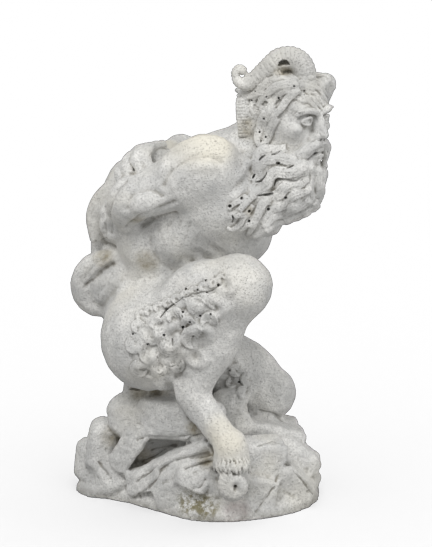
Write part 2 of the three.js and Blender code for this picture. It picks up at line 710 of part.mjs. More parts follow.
function carveHead(stone) {
  const side = (s) => ({
    brow: mass(head, [74, 27 * s, 22], [16, 27, 10]),
    socket: mass(head, [90, 31 * s, 1], [20, 17, 12]),
    eye: mass(head, [68, 31 * s, 0], [13, 15, 11]),
    cheek: mass(head, [52, 44 * s, -24], [26, 19, 24]),
    nostril: mass(head, [93, 11 * s, -40], [12, 9, 9]),
    whisker: [head.point(98, 6 * s, -54), head.point(90, 32 * s, -66), head.point(66, 54 * s, -92)],
  });
  stone.add(mass(head, [-12, 0, 14], [86, 72, 72]), 20);
  stone.add(mass(head, [24, 0, -26], [58, 58, 76]), 14);
  stone.add(mass(head, [50, 0, 36], [34, 56, 34]), 14);
  stone.add(mass(head, [54, 0, -58], [38, 40, 42]), 12);
  for (const s of [-1, 1]) {
    const { brow, socket, eye, cheek, nostril, whisker } = side(s);
    stone.add(brow, 9);
    stone.cut(socket, 9);
    stone.add(eye, 3);
    stone.add(cheek, 14);
    stone.add(nostril, 5);
    stone.add(tube(whisker, swell(9, 13)), 4);
  }
  stone.add(tube([head.point(80, 0, 14), head.point(104, 0, -30)], taper(11, 13)), 7);
  stone.cut(tube([head.point(96, -16, -77), head.point(106, 0, -73), head.point(96, 16, -77)], swell(3, 7)), 4);
  stone.add(mass(head, [86, 0, -90], [18, 22, 10]), 6);
}

// A goat's ear, broken square at its tip, stands out behind each temple over a thick lock.
function carveEars(stone) {
  for (const s of [-1, 1]) {
    const outwards = head.direction(0.5, 0.8 * s, 0);
    const root = head.point(-22, 64 * s, 0);
    const tip = head.point(-84, 84 * s, 26);
    stone.add(muscle(root, tip, 58, 32, outwards, 1.15), 8);
    stone.add(muscle(head.point(-44, 62 * s, -10), head.point(-58, 58 * s, -104), 58, 48, outwards), 8);
  }
}

// The near horn springs from the brow, arches back over the crown and ends in a curl; the far one is a stub.
function carveHorns(stone) {
  const depth = -102;
  const arch = [
    [244, 1006], [247, 1040], [236, 1063], [214, 1074], [187, 1068], [159, 1046],
    [132, 1023], [111, 1014], [94, 1022], [89, 1040], [99, 1050], [110, 1042],
  ].map(([x, z]) => at(x, depth, z));
  const [thickest, thinnest] = [25.5, 8];
  const thick = (t) => Math.max(thinnest, thickest - Math.max(0, t - 0.36) * 42);
  stone.add(tube(arch, thick, 60), 5);
  stone.add(tube([at(284, -18, 966), at(302, 0, 1004)], () => 24), 6);
}

// Locks of the beard fan out from the jaw, near ear to chin to far cheek, and wave down to their tips.
const beardRoots = new THREE.CatmullRomCurve3([
  at(141, -140, 891), at(163, -150, 874), at(191, -160, 866), at(218, -165, 853), at(241, -160, 844),
  at(260, -145, 832),
  at(275, -120, 823), at(288, -90, 818), at(292, -50, 831), at(284, -10, 848), at(268, 14, 858),
]);
const beardTips = new THREE.CatmullRomCurve3([
  at(107, -120, 865), at(91, -150, 812), at(82, -165, 745), at(100, -150, 684), at(152, -110, 662),
  at(206, -70, 678),
  at(254, -30, 699), at(284, 8, 726), at(280, 40, 741), at(256, 62, 759), at(226, 74, 790),
]);

function carveBeard(stone) {
  stone.add(mass(level, [204, -72, 790], [86, 86, 96]), 18);
  stone.add(mass(level, [142, -110, 730], [56, 52, 72]), 16);
  const core = at(176, -50, 790);
  const locks = 15;
  for (let n = 0; n < locks; n++) {
    const share = (n + 0.5) / locks;
    const root = beardRoots.getPoint(share);
    const tip = beardTips.getPoint(share);
    const run = tip.clone().sub(root);
    const points = [];
    for (let step = 0; step <= 6; step++) {
      const t = step / 6;
      const place = root.clone().addScaledVector(run, t);
      const out = place.clone().sub(core).normalize();
      const sideways = out.clone().cross(run).normalize();
      const wave = Math.sin(t * 8 + n * 0.5) * 9 * UNIT;
      const rise = Math.sin(Math.PI * t) * 14 * UNIT;
      points.push(place.addScaledVector(out, rise).addScaledVector(sideways, wave));
    }
    lay(stone, points, core, taper(13, 10), 4);
  }
}

// Locks of hair are swept back from the brow over the crown, and hang behind the ears.
function carveHair(stone) {
  stone.add(mass(head, [-26, 0, 22], [86, 80, 70]), 12);
  const core = head.point(-10, 0, 0);
  const locks = 12;
  for (let n = 0; n < locks; n++) {
    const turn = radians(-84 + (168 * n) / (locks - 1));
    const side = Math.sin(turn);
    const ahead = Math.cos(turn);
    const points = [
      head.point(34 + 26 * ahead, 56 * side, 66),
      head.point(2 + 20 * ahead, 76 * side, 66 + 22 * ahead),
      head.point(-44, 84 * side, 44 + 40 * ahead),
      head.point(-92, 66 * side, -10 + 44 * ahead),
    ];
    lay(stone, points, core, taper(13, 11), 4);
  }
}

// The rock's outline on the ground, and the slabs it is built of: most of them long, and dipping to the left.
const bedOutline = [
  [-305, 34], [-268, -26], [-214, -44], [-160, -80], [-92, -140], [-22, -198], [56, -216], [153, -194],
  [248, -134], [298, -44], [301, 50], [262, 146], [178, 214], [50, 234], [-90, 230], [-214, 194], [-292, 120],
];

function carveRock(stone) {
  const stretch = SEAT_HEIGHT / DRAWN_ROCK.seat;
  const outline = bedOutline.map(([x, y]) => onRock(x, y, 0));
  stone.add(column(outline, UNDERSIDE - 30, UNDERSIDE + 112 * stretch, 6, 0.7));
  const bars = [
    { name: "seat back", from: [-140, 70, 140], to: [10, 60, 130], width: 170, thick: 170, edge: 50 },
    { name: "seat core", from: [-132, 30, 250], to: [-20, 30, 246], width: 196, thick: 130, edge: 44 },
    { name: "inner rock", from: [-120, 20, 126], to: [60, 10, 120], width: 104, thick: 110, edge: 30 },
    { name: "seat", from: [-166, 10, 202], to: [-6, -66, 216], width: 104, thick: 128, edge: 42 },
    { name: "seat lip", from: [-122, -80, 218], to: [40, -122, 220], width: 92, thick: 70, edge: 26 },
    { name: "finger", from: [-116, -86, 216], to: [-192, -50, 96], width: 58, thick: 60, edge: 24 },
    { name: "left shoulder", from: [-222, 34, 150], to: [-236, 34, 80], width: 78, thick: 96, edge: 32 },
    { name: "left foot", from: [-268, 92, 66], to: [-190, 0, 42], width: 98, thick: 90, edge: 22 },
    { name: "left toe", from: [-226, 22, 96], to: [-190, -20, 30], width: 70, thick: 56, edge: 14 },
    { name: "upper bar", from: [-166, -66, 58], to: [54, -152, 186], width: 31, thick: 60, edge: 9 },
    { name: "lower bar", from: [-162, -70, 34], to: [56, -164, 152], width: 33, thick: 60, edge: 9 },
    { name: "front plane", from: [-80, -96, 28], to: [48, -150, 92], width: 74, thick: 84, edge: 9 },
    { name: "broken lump", from: [-40, -156, 98], to: [18, -168, 76], width: 38, thick: 50, edge: 8 },
    { name: "under hoof", from: [30, -140, 20], to: [120, -140, 20], width: 64, thick: 90, edge: 12 },
    { name: "hoof facet", from: [100, -106, 124], to: [196, -84, 118], width: 92, thick: 96, edge: 9 },
    { name: "front facet", from: [116, -138, 54], to: [176, -126, 40], width: 88, thick: 70, edge: 8 },
    { name: "wedge", from: [186, -88, 84], to: [254, -58, 16], width: 92, thick: 90, edge: 8 },
    { name: "right oblong", from: [214, -6, 124], to: [272, -14, 80], width: 62, thick: 92, edge: 27 },
    { name: "right foot", from: [216, 30, 50], to: [280, 10, 18], width: 60, thick: 130, edge: 10 },
    { name: "knee slab", from: [116, 48, 156], to: [238, 66, 128], width: 64, thick: 150, edge: 12 },
    { name: "boulder", from: [74, -6, 232], to: [90, -6, 172], width: 84, thick: 84, edge: 36 },
    { name: "back left", from: [-196, 124, 60], to: [-70, 146, 96], width: 124, thick: 110, edge: 20 },
    { name: "back middle", from: [-70, 156, 90], to: [70, 172, 62], width: 124, thick: 90, edge: 20 },
    { name: "back right", from: [70, 146, 96], to: [210, 116, 48], width: 114, thick: 120, edge: 18 },
  ];
  for (const { from, to, width, thick, edge } of bars) {
    stone.add(bar(onRock(...from), onRock(...to), width * stretch, thick * stretch, towardsViewer, edge), 6);
  }
  const hollows = [
    { from: [-204, -70, 128], to: [-156, -98, 200], radius: 18 },
    { from: [-134, -100, 92], to: [-84, -146, 156], radius: 17 },
    { from: [208, -150, 112], to: [212, -80, 112], radius: 7 },
  ];
  for (const { from, to, radius } of hollows) {
    stone.cut(tube([onRock(...from), onRock(...to)], () => radius * stretch), 10);
  }
  stone.keep(column(outline, UNDERSIDE - 100, UNDERSIDE + 400 * stretch, 0, 0.06), 8);
  stone.cut(mass(level, [18, -228, 26], [60, 26, 18]), 6);
}

// The carved block as a solid, with its underside sawn flat.
function sawFlat({ points, triangles }, wasm, bed) {
  const solidOf = (places, order) => {
    const [vertProperties, triVerts] = [Float32Array.from(places), Uint32Array.from(order)];
    return new wasm.Manifold(new wasm.Mesh({ numProp: 3, vertProperties, triVerts }));
  };
  const block = solidOf(points, triangles);
  const depth = 400;
  const span = 4 * (ROCK_LENGTH + FIGURE_HEIGHT);
  const waste = new THREE.BoxGeometry(span, span, depth).translate(0, 0, bed - depth / 2);
  const { position } = waste.attributes;
  const corners = [];
  const order = [];
  for (const n of waste.index.array) {
    const place = [position.getX(n), position.getY(n), position.getZ(n)];
    const same = corners.findIndex((c) => c.every((v, i) => Math.abs(v - place[i]) < 1e-6));
    order.push(same < 0 ? corners.push(place) - 1 : same);
  }
  const { vertProperties, triVerts, numProp } = block.subtract(solidOf(corners.flat(), order)).getMesh();
  const geometry = new THREE.BufferGeometry();
  const places = [];
  for (let v = 0; v < vertProperties.length; v += numProp) places.push(...vertProperties.slice(v, v + 3));
  geometry.setAttribute("position", new THREE.Float32BufferAttribute(places, 3));
  geometry.setIndex([...triVerts]);
  geometry.computeVertexNormals();
  return geometry;
}

// The head and its beard, the field of curls on the thigh, and the horns, as boxes.
const HEAD_BOX = new THREE.Box3(at(60, -400, 650), at(400, 400, 980));
const CURLS_BOX = new THREE.Box3(at(-400, -400, 290), at(400, -170, 600));
const HORNS_BOX = new THREE.Box3(at(-400, -400, 980), at(400, 400, 1200));

// Faces, hair and curls keep more facets than the smooth limbs and the rock.
function careAt(x, y, z) {
  const place = new THREE.Vector3(x, y, z);
  if (HEAD_BOX.containsPoint(place)) return 7;
  return CURLS_BOX.containsPoint(place) || HORNS_BOX.containsPoint(place) ? 4 : 1;
}

function carveFaun() {
  const corners = [at(-300, -280, 0), at(340, 250, 1110), ...bedOutline.map(([x, y]) => onRock(x, y, 0))];
  const room = new THREE.Box3().setFromPoints(corners).expandByScalar(8 * GRAIN);
  const stone = new Stone(room.min, room.max, GRAIN);
  carveRock(stone);
  carveTorso(stone);
  carveHide(stone);
  carveArms(stone);
  carveLegs(stone);
  carveHoof(stone);
  carveThighCurls(stone);
  carveHead(stone);
  carveBeard(stone);
  carveHair(stone);
  carveEars(stone);
  carveHorns(stone);
  stone.makeOneBlock(joints.pelvis);
  return stone.surface();
}

// Stands the statue on its bed, with the middle of its bounding box over the origin.
function standOnBed(geometry) {
  geometry.computeBoundingBox();
  const { min, max } = geometry.boundingBox;
  return geometry.translate(-(min.x + max.x) / 2, -(min.y + max.y) / 2, -min.z);
}

const wasm = await Module();
wasm.setup();

const limestone = new THREE.MeshStandardMaterial({ color: 0xcdc9c0, roughness: 0.85 });
const carved = new Facets(carveFaun(), careAt).reduceTo(FACETS);
const statue = new THREE.Mesh(standOnBed(sawFlat(carved, wasm, UNDERSIDE)), limestone);
statue.name = "faun_statue";

const faun = new THREE.Group();
faun.name = "faun";
faun.add(statue);

export default faun;
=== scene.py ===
"""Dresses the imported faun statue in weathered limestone, with its hair, horns and rock carved finer."""

import json
import logging
import math
import random
from collections.abc import Callable
from dataclasses import dataclass, field
from enum import Enum
from itertools import pairwise

import bmesh
import bpy
import numpy as np
from mathutils import Matrix, Vector
from mathutils.bvhtree import BVHTree
from mathutils.geometry import interpolate_bezier

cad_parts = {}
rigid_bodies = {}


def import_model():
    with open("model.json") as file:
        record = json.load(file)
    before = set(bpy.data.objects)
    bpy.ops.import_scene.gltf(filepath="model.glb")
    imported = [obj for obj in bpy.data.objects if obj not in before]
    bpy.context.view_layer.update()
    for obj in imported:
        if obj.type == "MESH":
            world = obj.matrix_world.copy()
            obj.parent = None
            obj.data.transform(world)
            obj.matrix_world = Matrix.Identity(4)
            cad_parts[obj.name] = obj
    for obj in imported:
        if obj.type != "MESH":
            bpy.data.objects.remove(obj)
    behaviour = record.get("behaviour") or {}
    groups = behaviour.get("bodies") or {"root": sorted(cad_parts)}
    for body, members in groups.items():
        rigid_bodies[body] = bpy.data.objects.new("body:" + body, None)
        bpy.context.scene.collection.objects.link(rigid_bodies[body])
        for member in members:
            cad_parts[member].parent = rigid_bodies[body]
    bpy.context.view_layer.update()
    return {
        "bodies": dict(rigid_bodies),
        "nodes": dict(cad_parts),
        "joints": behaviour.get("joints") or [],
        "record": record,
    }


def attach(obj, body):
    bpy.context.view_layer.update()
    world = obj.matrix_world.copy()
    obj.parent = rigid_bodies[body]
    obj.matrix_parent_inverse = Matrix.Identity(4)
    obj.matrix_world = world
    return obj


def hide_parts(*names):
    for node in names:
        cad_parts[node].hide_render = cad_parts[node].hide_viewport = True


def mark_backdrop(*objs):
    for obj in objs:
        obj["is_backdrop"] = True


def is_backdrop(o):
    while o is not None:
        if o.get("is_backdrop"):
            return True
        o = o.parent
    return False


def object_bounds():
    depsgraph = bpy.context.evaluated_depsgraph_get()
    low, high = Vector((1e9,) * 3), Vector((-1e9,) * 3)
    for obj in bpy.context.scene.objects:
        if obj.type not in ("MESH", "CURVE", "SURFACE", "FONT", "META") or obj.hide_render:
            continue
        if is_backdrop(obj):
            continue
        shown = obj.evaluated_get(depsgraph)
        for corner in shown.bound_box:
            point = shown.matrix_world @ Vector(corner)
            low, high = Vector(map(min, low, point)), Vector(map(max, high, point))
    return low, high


log = logging.getLogger("faun")

NODE = "faun_statue"
MM = 0.001
# Where the origin that every place below is drawn from lies in the frame.
DRAWN_FROM = Vector((-0.01108, 0.01522, 0.0))

FORM_VOXEL = 4.0 * MM
CARVING_VOXEL = 1.8 * MM
TOOL_VOXEL = 1.2 * MM
TRIANGLES = 192_000
# Two corners nearer than this are one: the solid's facets each have corners of their own.
SAME_PLACE = 0.01 * MM
# One round of smoothing without shrinking moves the surface in and then out by these shares.
INWARD_SHARE = 0.62
OUTWARD_SHARE = -0.64

Triple = tuple[float, float, float]
Line = tuple[tuple[float, float], ...]
Laid = tuple[list[Vector], list[Vector]]
Socket = bpy.types.NodeSocket


class Side(Enum):
    """The figure's own two sides. The photograph shows its right."""

    RIGHT = -1
    LEFT = 1


def at(x: float, y: float, z: float) -> Vector:
    """A place in the frame, from millimetres in the drawing."""
    return Vector((x, y, z)) * MM + DRAWN_FROM


# Where the viewer stands: how far from the middle of the figure, and how far above its level.
TARGET = at(45, 0, 550)
DISTANCE = 5.0
TILT = math.radians(12)
EYE = TARGET + Vector((0.0, -math.cos(TILT), math.sin(TILT))) * DISTANCE
# The upright plane in front of the figure that a Line's places lie in, along Y in millimetres.
# Each is carried from there along the line of sight to the stone.
SIGHT_PLANE = -250.0


def curve_through(points: list[Vector], steps: int) -> list[Vector]:
    """A smooth path through points.

    Args:
        points: the places it passes through.
        steps: how many stretches it is cut into between two neighbouring points.

    Returns:
        The places along the path, its first and last point included.
    """
    if len(points) == 2:
        return [points[0].lerp(points[1], n / steps) for n in range(steps + 1)]
    padded = [points[0] * 2 - points[1], *points, points[-1] * 2 - points[-2]]
    path: list[Vector] = []
    for before, start, end, after in zip(padded, padded[1:], padded[2:], padded[3:]):
        first_handle = start + (end - before) / 6
        second_handle = end - (after - start) / 6
        path += interpolate_bezier(start, first_handle, second_handle, end, steps + 1)[:-1]
    return [*path, points[-1].copy()]


def ring_places(
    path: list[Vector],
    radii: list[float],
    flatness: float,
    facing: Vector | None,
) -> list[Matrix]:
    """The place, turn and size of each ring of a swept shape, with no twist from one ring to the next.

    Args:
        path: the places of the rings.
        radii: their radii.
        flatness: the ring's thickness as a share of its width.
        facing: the direction that the flat side looks in, or None.

    Returns:
        One matrix for each ring.
    """
    tangents = [(b - a).normalized() for a, b in zip([path[0], *path], [*path[1:], path[-1]])]
    normal = facing.copy() if facing else tangents[0].orthogonal()
    places = []
    for place, tangent, radius in zip(path, tangents, radii):
        normal = (normal - tangent * normal.dot(tangent)).normalized()
        across = normal.cross(tangent)
        turned = Matrix((across, normal, tangent)).transposed().to_4x4()
        size = Matrix.Diagonal((radius, radius * flatness, radius, 1.0))
        places.append(Matrix.Translation(place) @ turned @ size)
    return places


def sweep(
    path: list[Vector],
    radius: Callable[[float], float],
    sides: int = 6,
    flatness: float = 1.0,
    facing: Vector | None = None,
) -> bmesh.types.BMesh:
    """A closed round bar along a path: one ring, extruded from place to place.

    Args:
        path: the bar's middle line.
        radius: its radius, from 0 at its start to 1 at its end.
        sides: how many sides the ring has.
        flatness: the ring's thickness as a share of its width.
        facing: the direction that the flat side looks in, or None.

    Returns:
        The bar.
    """
    last = len(path) - 1
    radii = [max(radius(n / last), 0.3 * MM) for n in range(last + 1)]
    places = ring_places(path, radii, flatness, facing)
    bar = bmesh.new()
    bmesh.ops.create_circle(bar, cap_ends=True, segments=sides, radius=1.0, matrix=places[0])
    ring = list(bar.edges)
    for before, after in pairwise(places):
        grown = bmesh.ops.extrude_edge_only(bar, edges=ring)["geom"]
        corners = {part for part in grown if isinstance(part, bmesh.types.BMVert)}
        edges = [part for part in grown if isinstance(part, bmesh.types.BMEdge)]
        ring = [edge for edge in edges if corners.issuperset(edge.verts)]
        bmesh.ops.transform(bar, matrix=after @ before.inverted(), verts=list(corners))
    bmesh.ops.edgeloop_fill(bar, edges=ring)
    bmesh.ops.recalc_face_normals(bar, faces=list(bar.faces))
    return bar


def pebble(place: Vector, radii: Triple, axes: Matrix | None = None, rounds: int = 3) -> bmesh.types.BMesh:
    """A rounded mass.

    Args:
        place: its middle.
        radii: its three radii in millimetres.
        axes: the turn that its radii are measured in, or None for the frame's own.
        rounds: how finely it is divided.

    Returns:
        The mass.
    """
    mass = bmesh.new()
    turned = (axes or Matrix.Identity(3)).to_4x4()
    matrix = Matrix.Translation(place) @ turned @ Matrix.Diagonal((*(r * MM for r in radii), 1.0))
    bmesh.ops.create_icosphere(mass, subdivisions=rounds, radius=1.0, matrix=matrix)
    return mass


def tapered(start: float, end: float) -> Callable[[float], float]:
    """A radius that changes evenly from one millimetre size to another."""
    return lambda t: (start + (end - start) * t) * MM


def leaf(widest: float, ends: float = 1.2, power: float = 0.7) -> Callable[[float], float]:
    """A radius in millimetres that swells in the middle of a lock and thins at both ends."""
    return lambda t: (ends + (widest - ends) * math.sin(math.pi * min(max(t, 0.0), 1.0)) ** power) * MM


def evened(path: list[Vector]) -> list[Vector]:
    """A path with its jerks taken out: each inner place is moved towards its neighbours twice."""
    for _ in range(2):
        inner = [a * 0.25 + b * 0.5 + c * 0.25 for a, b, c in zip(path, path[1:], path[2:])]
        path = [path[0], *inner, path[-1]]
    return path


@dataclass
class Clay:
    """Shapes that are joined to the statue and shapes that are cut from it, one mesh for each kind."""

    added: bmesh.types.BMesh = field(default_factory=bmesh.new)
    taken: bmesh.types.BMesh = field(default_factory=bmesh.new)

    def add(self, shape: bmesh.types.BMesh) -> None:
        """Joins a shape to the statue."""
        self._gather(shape, self.added)

    def cut(self, shape: bmesh.types.BMesh) -> None:
        """Cuts a shape from the statue."""
        self._gather(shape, self.taken)

    @staticmethod
    def _gather(shape: bmesh.types.BMesh, whole: bmesh.types.BMesh) -> None:
        """Puts a copy of a shape in a gathering mesh and frees the shape."""
        piece = bpy.data.meshes.new("shape")
        shape.to_mesh(piece)
        shape.free()
        whole.from_mesh(piece)
        bpy.data.meshes.remove(piece)


@dataclass(frozen=True)
class Axes:
    """A part of the body's own axes, which its features are placed by in millimetres."""

    origin: Vector
    forward: Vector
    left: Vector
    up: Vector

    @classmethod
    def turned(cls, origin: Vector, turn: float, lean: float) -> "Axes":
        """Axes from how far the part faces away from +X and how far it leans forward, in degrees."""
        facing = Vector((math.cos(math.radians(turn)), math.sin(math.radians(turn)), 0.0))
        side = Vector((0.0, 0.0, 1.0)).cross(facing)
        forward = Matrix.Rotation(math.radians(lean), 3, side) @ facing
        return cls(origin, forward, side, forward.cross(side))

    def way(self, forward: float, left: float, up: float) -> Vector:
        """A direction in these axes."""
        return self.forward * forward + self.left * left + self.up * up

    def point(self, forward: float, left: float, up: float) -> Vector:
        """A place in these axes, in millimetres."""
        return self.origin + self.way(forward, left, up) * MM

    def matrix(self) -> Matrix:
        """The turn of these axes."""
        return Matrix((self.forward, self.left, self.up)).transposed()


HEAD = Axes.turned(at(214, -62, 942), -44, 4)
TORSO = Axes.turned(at(50, 4, 735), -20, 30)


@dataclass
class Skin:
    """The statue's surface, for laying carving on it."""

    tree: BVHTree

    def under(self, place: Vector, inwards: Vector, start: float, reach: float) -> tuple[Vector, Vector]:
        """The skin below a place.

        Args:
            place: the place.
            inwards: the way to look.
            start: how far outside the place the look starts, in millimetres.
            reach: how far it goes, in millimetres.

        Returns:
            The place on the skin and the way out of it, or the place itself where no skin is met.
        """
        met, normal, _, _ = self.tree.ray_cast(place - inwards * start * MM, inwards, reach * MM)
        if met is None or normal.dot(inwards) > 0:
            return place.copy(), -inwards
        return met, normal

    def seen(self, x: float, z: float) -> tuple[Vector, Vector]:
        """The skin behind a place of the upright plane, and the way out of it, turned half to the viewer."""
        place = at(x, SIGHT_PLANE, z)
        sight = (place - EYE).normalized()
        met, normal, _, _ = self.tree.ray_cast(place, sight, 0.5)
        if met is None:
            met, normal, _, _ = self.tree.find_nearest(place + sight * 0.12)
        return met, (normal - sight).normalized()

    def laid(self, line: Line, steps: int = 6) -> Laid:
        """A line of the upright plane laid on the skin, without sudden steps in its depth."""
        places = curve_through([Vector((x, 0.0, z)) for x, z in line], steps)
        found = [self.seen(place.x, place.z) for place in places]
        path = [found[0][0]]
        for met, _ in found[1:]:
            last = path[-1]
            reach = 1.1 * math.hypot(met.x - last.x, met.z - last.z) + 1.5 * MM
            path.append(Vector((met.x, min(max(met.y, last.y - reach), last.y + reach), met.z)))
        outwards = [way.normalized() for way in evened([way for _, way in found])]
        return evened(path), outwards


@dataclass
class Lock:
    """A lock of hair: a low core with strands side by side on it, which come together at their tips."""

    path: list[Vector]
    outwards: list[Vector]
    width: float
    strands: int = 4
    lift: float = 2.0
    depth: float = 0.6
    blunt: float = 0.3

    def fullness(self, t: float) -> float:
        """The lock's share of its full width, from its root at 0 to its tip at 1."""
        swelling = 0.16 + t if t < 0.34 else 0.5 + (t - 0.34) / 1.46
        return self.blunt + (1 - self.blunt) * math.sin(math.pi * swelling)

    def carve(self, clay: Clay) -> None:
        """Adds the lock to the statue."""
        half = self.width / 2
        last = len(self.path) - 1
        sunk = half * 0.42
        core = [p + n * (self.lift - sunk) * MM for p, n in zip(self.path, self.outwards)]
        clay.add(sweep(core, lambda t: half * self.fullness(t) * MM, 8, self.depth * 0.8, self.outwards[0]))
        before, after = [self.path[0], *self.path], [*self.path[1:], self.path[-1]]
        ways = [(b - a).normalized() for a, b in zip(before, after)]
        middle = (self.strands - 1) / 2
        thick = self.width / self.strands * 0.54
        for n in range(self.strands):
            side = (n - middle) / (middle + 0.5)
            bow = self.depth * math.sqrt(1 - side * side * 0.9)
            line = []
            for step, (place, out, way) in enumerate(zip(self.path, self.outwards, ways)):
                full = self.fullness(step / last)
                across = way.cross(out).normalized()
                rise = self.lift + half * bow * full - sunk
                line.append(place + (across * half * side * full + out * rise) * MM)
            clay.add(sweep(line, lambda t: thick * (0.5 + 0.5 * self.fullness(t)) * MM, 6))


@dataclass
class Chisel:
    """The tools that work on the carving where the viewer sees it."""

    clay: Clay
    skin: Skin

    def lock(self, line: Line, width: float, strands: int = 4, lift: float = 3.0) -> None:
        """Lays a lock of hair along a line."""
        path, outwards = self.skin.laid(line)
        Lock(path, outwards, width, strands, lift).carve(self.clay)

    def drill(self, x: float, z: float, radius: float = 3.4, depth: float = 20.0) -> None:
        """Drills a round hole."""
        met, out = self.skin.seen(x, z)
        way = [met + out * 20 * MM, met - out * depth * MM]
        self.clay.cut(sweep(curve_through(way, 3), tapered(radius + 0.4, radius), 9))

    def slit(self, line: Line, half_width: float = 3.0, depth: float = 18.0) -> None:
        """Cuts a slit that is narrow at both ends."""
        path, outwards = self.skin.laid(line)
        self.clay.cut(sweep(path, leaf(half_width, 0.8), 10, depth / half_width, outwards[0]))


def waved(
    start: Vector,
    end: Vector,
    core: Vector,
    skin: Skin,
    sway: Callable[[float], float],
    bulge: float,
    steps: int,
) -> Laid:
    """A wavy path laid on the skin.

    Args:
        start: where it starts.
        end: where it ends.
        core: a place inside the body that it is pressed towards.
        skin: the skin.
        sway: how far it swings to its side, in millimetres, from 0 at its start to 1 at its end.
        bulge: how far outside the straight way it runs before it is laid, in millimetres.
        steps: how many stretches it has.

    Returns:
        The path and the ways out of the skin along it.
    """
    path = []
    outwards = []
    for step in range(steps + 1):
        t = step / steps
        place = start.lerp(end, t)
        out = (place - core).normalized()
        across = out.cross(end - start).normalized()
        place = place + (out * bulge * math.sin(math.pi * t) + across * sway(t)) * MM
        out = place - core
        if out.x < -40 * MM:
            out.x *= 0.2
        out.normalize()
        met, normal = skin.under(place, -out, 40, 90)
        path.append(met)
        outwards.append((normal + out).normalized())
    return evened(path), outwards


@dataclass
class Horns:
    """The ringed near horn, which arches back and curls up at its end, and the far one's stub."""

    arch: Line = (
        (244, 1006), (247, 1040), (236, 1063), (214, 1074), (187, 1068), (159, 1046), (132, 1023),
        (111, 1014), (94, 1022), (89, 1040), (99, 1050), (110, 1042),
    )
    depth: float = -102.0
    root_radius: float = 25.5
    tip_radius: float = 8.0
    full_share: float = 0.36
    narrowing: float = 42.0
    ring_pitch: float = 7.6
    ring_height: float = 2.1
    stub_line: tuple[Triple, ...] = ((281, -21, 960), (292, -10, 984), (303, 1, 1008))
    stub_radius: float = 24.0
    rim_height: float = 2.2
    break_bevel: float = 7.0

    def carve(self, clay: Clay) -> None:
        """Adds both horns."""
        line = curve_through([at(x, self.depth, z) for x, z in self.arch], 20)
        rings = sum((b - a).length for a, b in pairwise(line)) / MM / self.ring_pitch

        def radius(t: float) -> float:
            """The horn's radius with its growth rings."""
            thick = max(self.tip_radius, self.root_radius - max(0.0, t - self.full_share) * self.narrowing)
            return (thick - 0.5 + self.ring_height * abs(math.sin(math.pi * rings * t))) * MM

        clay.add(sweep(line, radius, 26))
        stub = curve_through([at(*place) for place in self.stub_line], 10)
        clay.add(sweep(stub, self.stub, 26))

    def stub(self, t: float) -> float:
        """The stub's radius, with a low rim below its broken end."""
        rim = self.rim_height * math.exp(-(((t - 0.88) / 0.07) ** 2))
        return (self.stub_radius + rim - self.break_bevel * max(0.0, t - 0.93) / 0.07) * MM


@dataclass
class Face:
    """The brow, eyes, nose and mouth, the same on both sides."""

    eye_radius: float = 14.0
    brow_hairs: int = 7

    def carve(self, clay: Clay) -> None:
        """Adds the face to the head."""
        for side in Side:
            self.carve_eye(clay, side.value)
            self.carve_cheek(clay, side.value)
        bridge = [HEAD.point(f, 0, u) for f, u in ((86, 20), (95, 4), (104, -16), (110, -31))]
        clay.add(sweep(curve_through(bridge, 5), tapered(8.5, 10.5), 10))
        clay.add(pebble(HEAD.point(110, 0, -32), (11, 10, 9.5), HEAD.matrix()))
        lower = [(-17, 90, -85), (-7, 100, -82), (7, 100, -82), (17, 90, -85)]
        clay.add(sweep(curve_through([HEAD.point(f, l, u) for l, f, u in lower], 5), leaf(6.5, 2.5), 8))
        clay.add(sweep(curve_through([HEAD.point(f, l, u + 13) for l, f, u in lower], 5), leaf(5, 2), 8))
        slit = [(-18, 88, -79), (0, 108, -75.5), (18, 88, -79)]
        clay.cut(sweep(curve_through([HEAD.point(f, l, u) for l, f, u in slit], 5), leaf(3, 1), 8))

    def carve_eye(self, clay: Clay, s: int) -> None:
        """Adds one side's eyeball, lids and brow."""
        clay.add(pebble(HEAD.point(75, 31 * s, -1), (self.eye_radius,) * 3, HEAD.matrix()))
        upper = [(83, 15, -3), (90, 24, 6), (90, 34, 7), (79, 48, -3)]
        lower = [(83, 15, -4), (88, 25, -9), (87, 35, -10), (79, 48, -4)]
        brow = [(92, 7, 13), (94, 20, 21), (86, 40, 23), (68, 57, 10)]
        for line, radius in ((upper, leaf(3.4, 1.5)), (lower, leaf(2.8, 1.3)), (brow, leaf(8, 4))):
            clay.add(sweep(curve_through([HEAD.point(f, l * s, u) for f, l, u in line], 5), radius, 8))
        for n in range(self.brow_hairs):
            forward = 97 - n * 1.2 - max(0, n - 3) * 3
            up = 16 + n * 1.4 - max(0, n - 4) * 3
            root = HEAD.point(forward, (8 + n * 7) * s, up)
            tip = root + HEAD.way(-2, 12 * s, 8 - n * 0.6) * MM
            middle = root.lerp(tip, 0.5) + HEAD.way(2, 0, 1.5) * MM
            clay.add(sweep(curve_through([root, middle, tip], 4), leaf(2.8, 1), 5))

    def carve_cheek(self, clay: Clay, s: int) -> None:
        """Adds one side's cheekbone and nostril."""
        clay.add(pebble(HEAD.point(58, 46 * s, -22), (24, 17, 17), HEAD.matrix()))
        clay.add(pebble(HEAD.point(99, 11 * s, -37), (11, 7, 8), HEAD.matrix()))
        clay.cut(pebble(HEAD.point(104, 6 * s, -44), (5.5, 3.4, 4.5), HEAD.matrix(), 2))


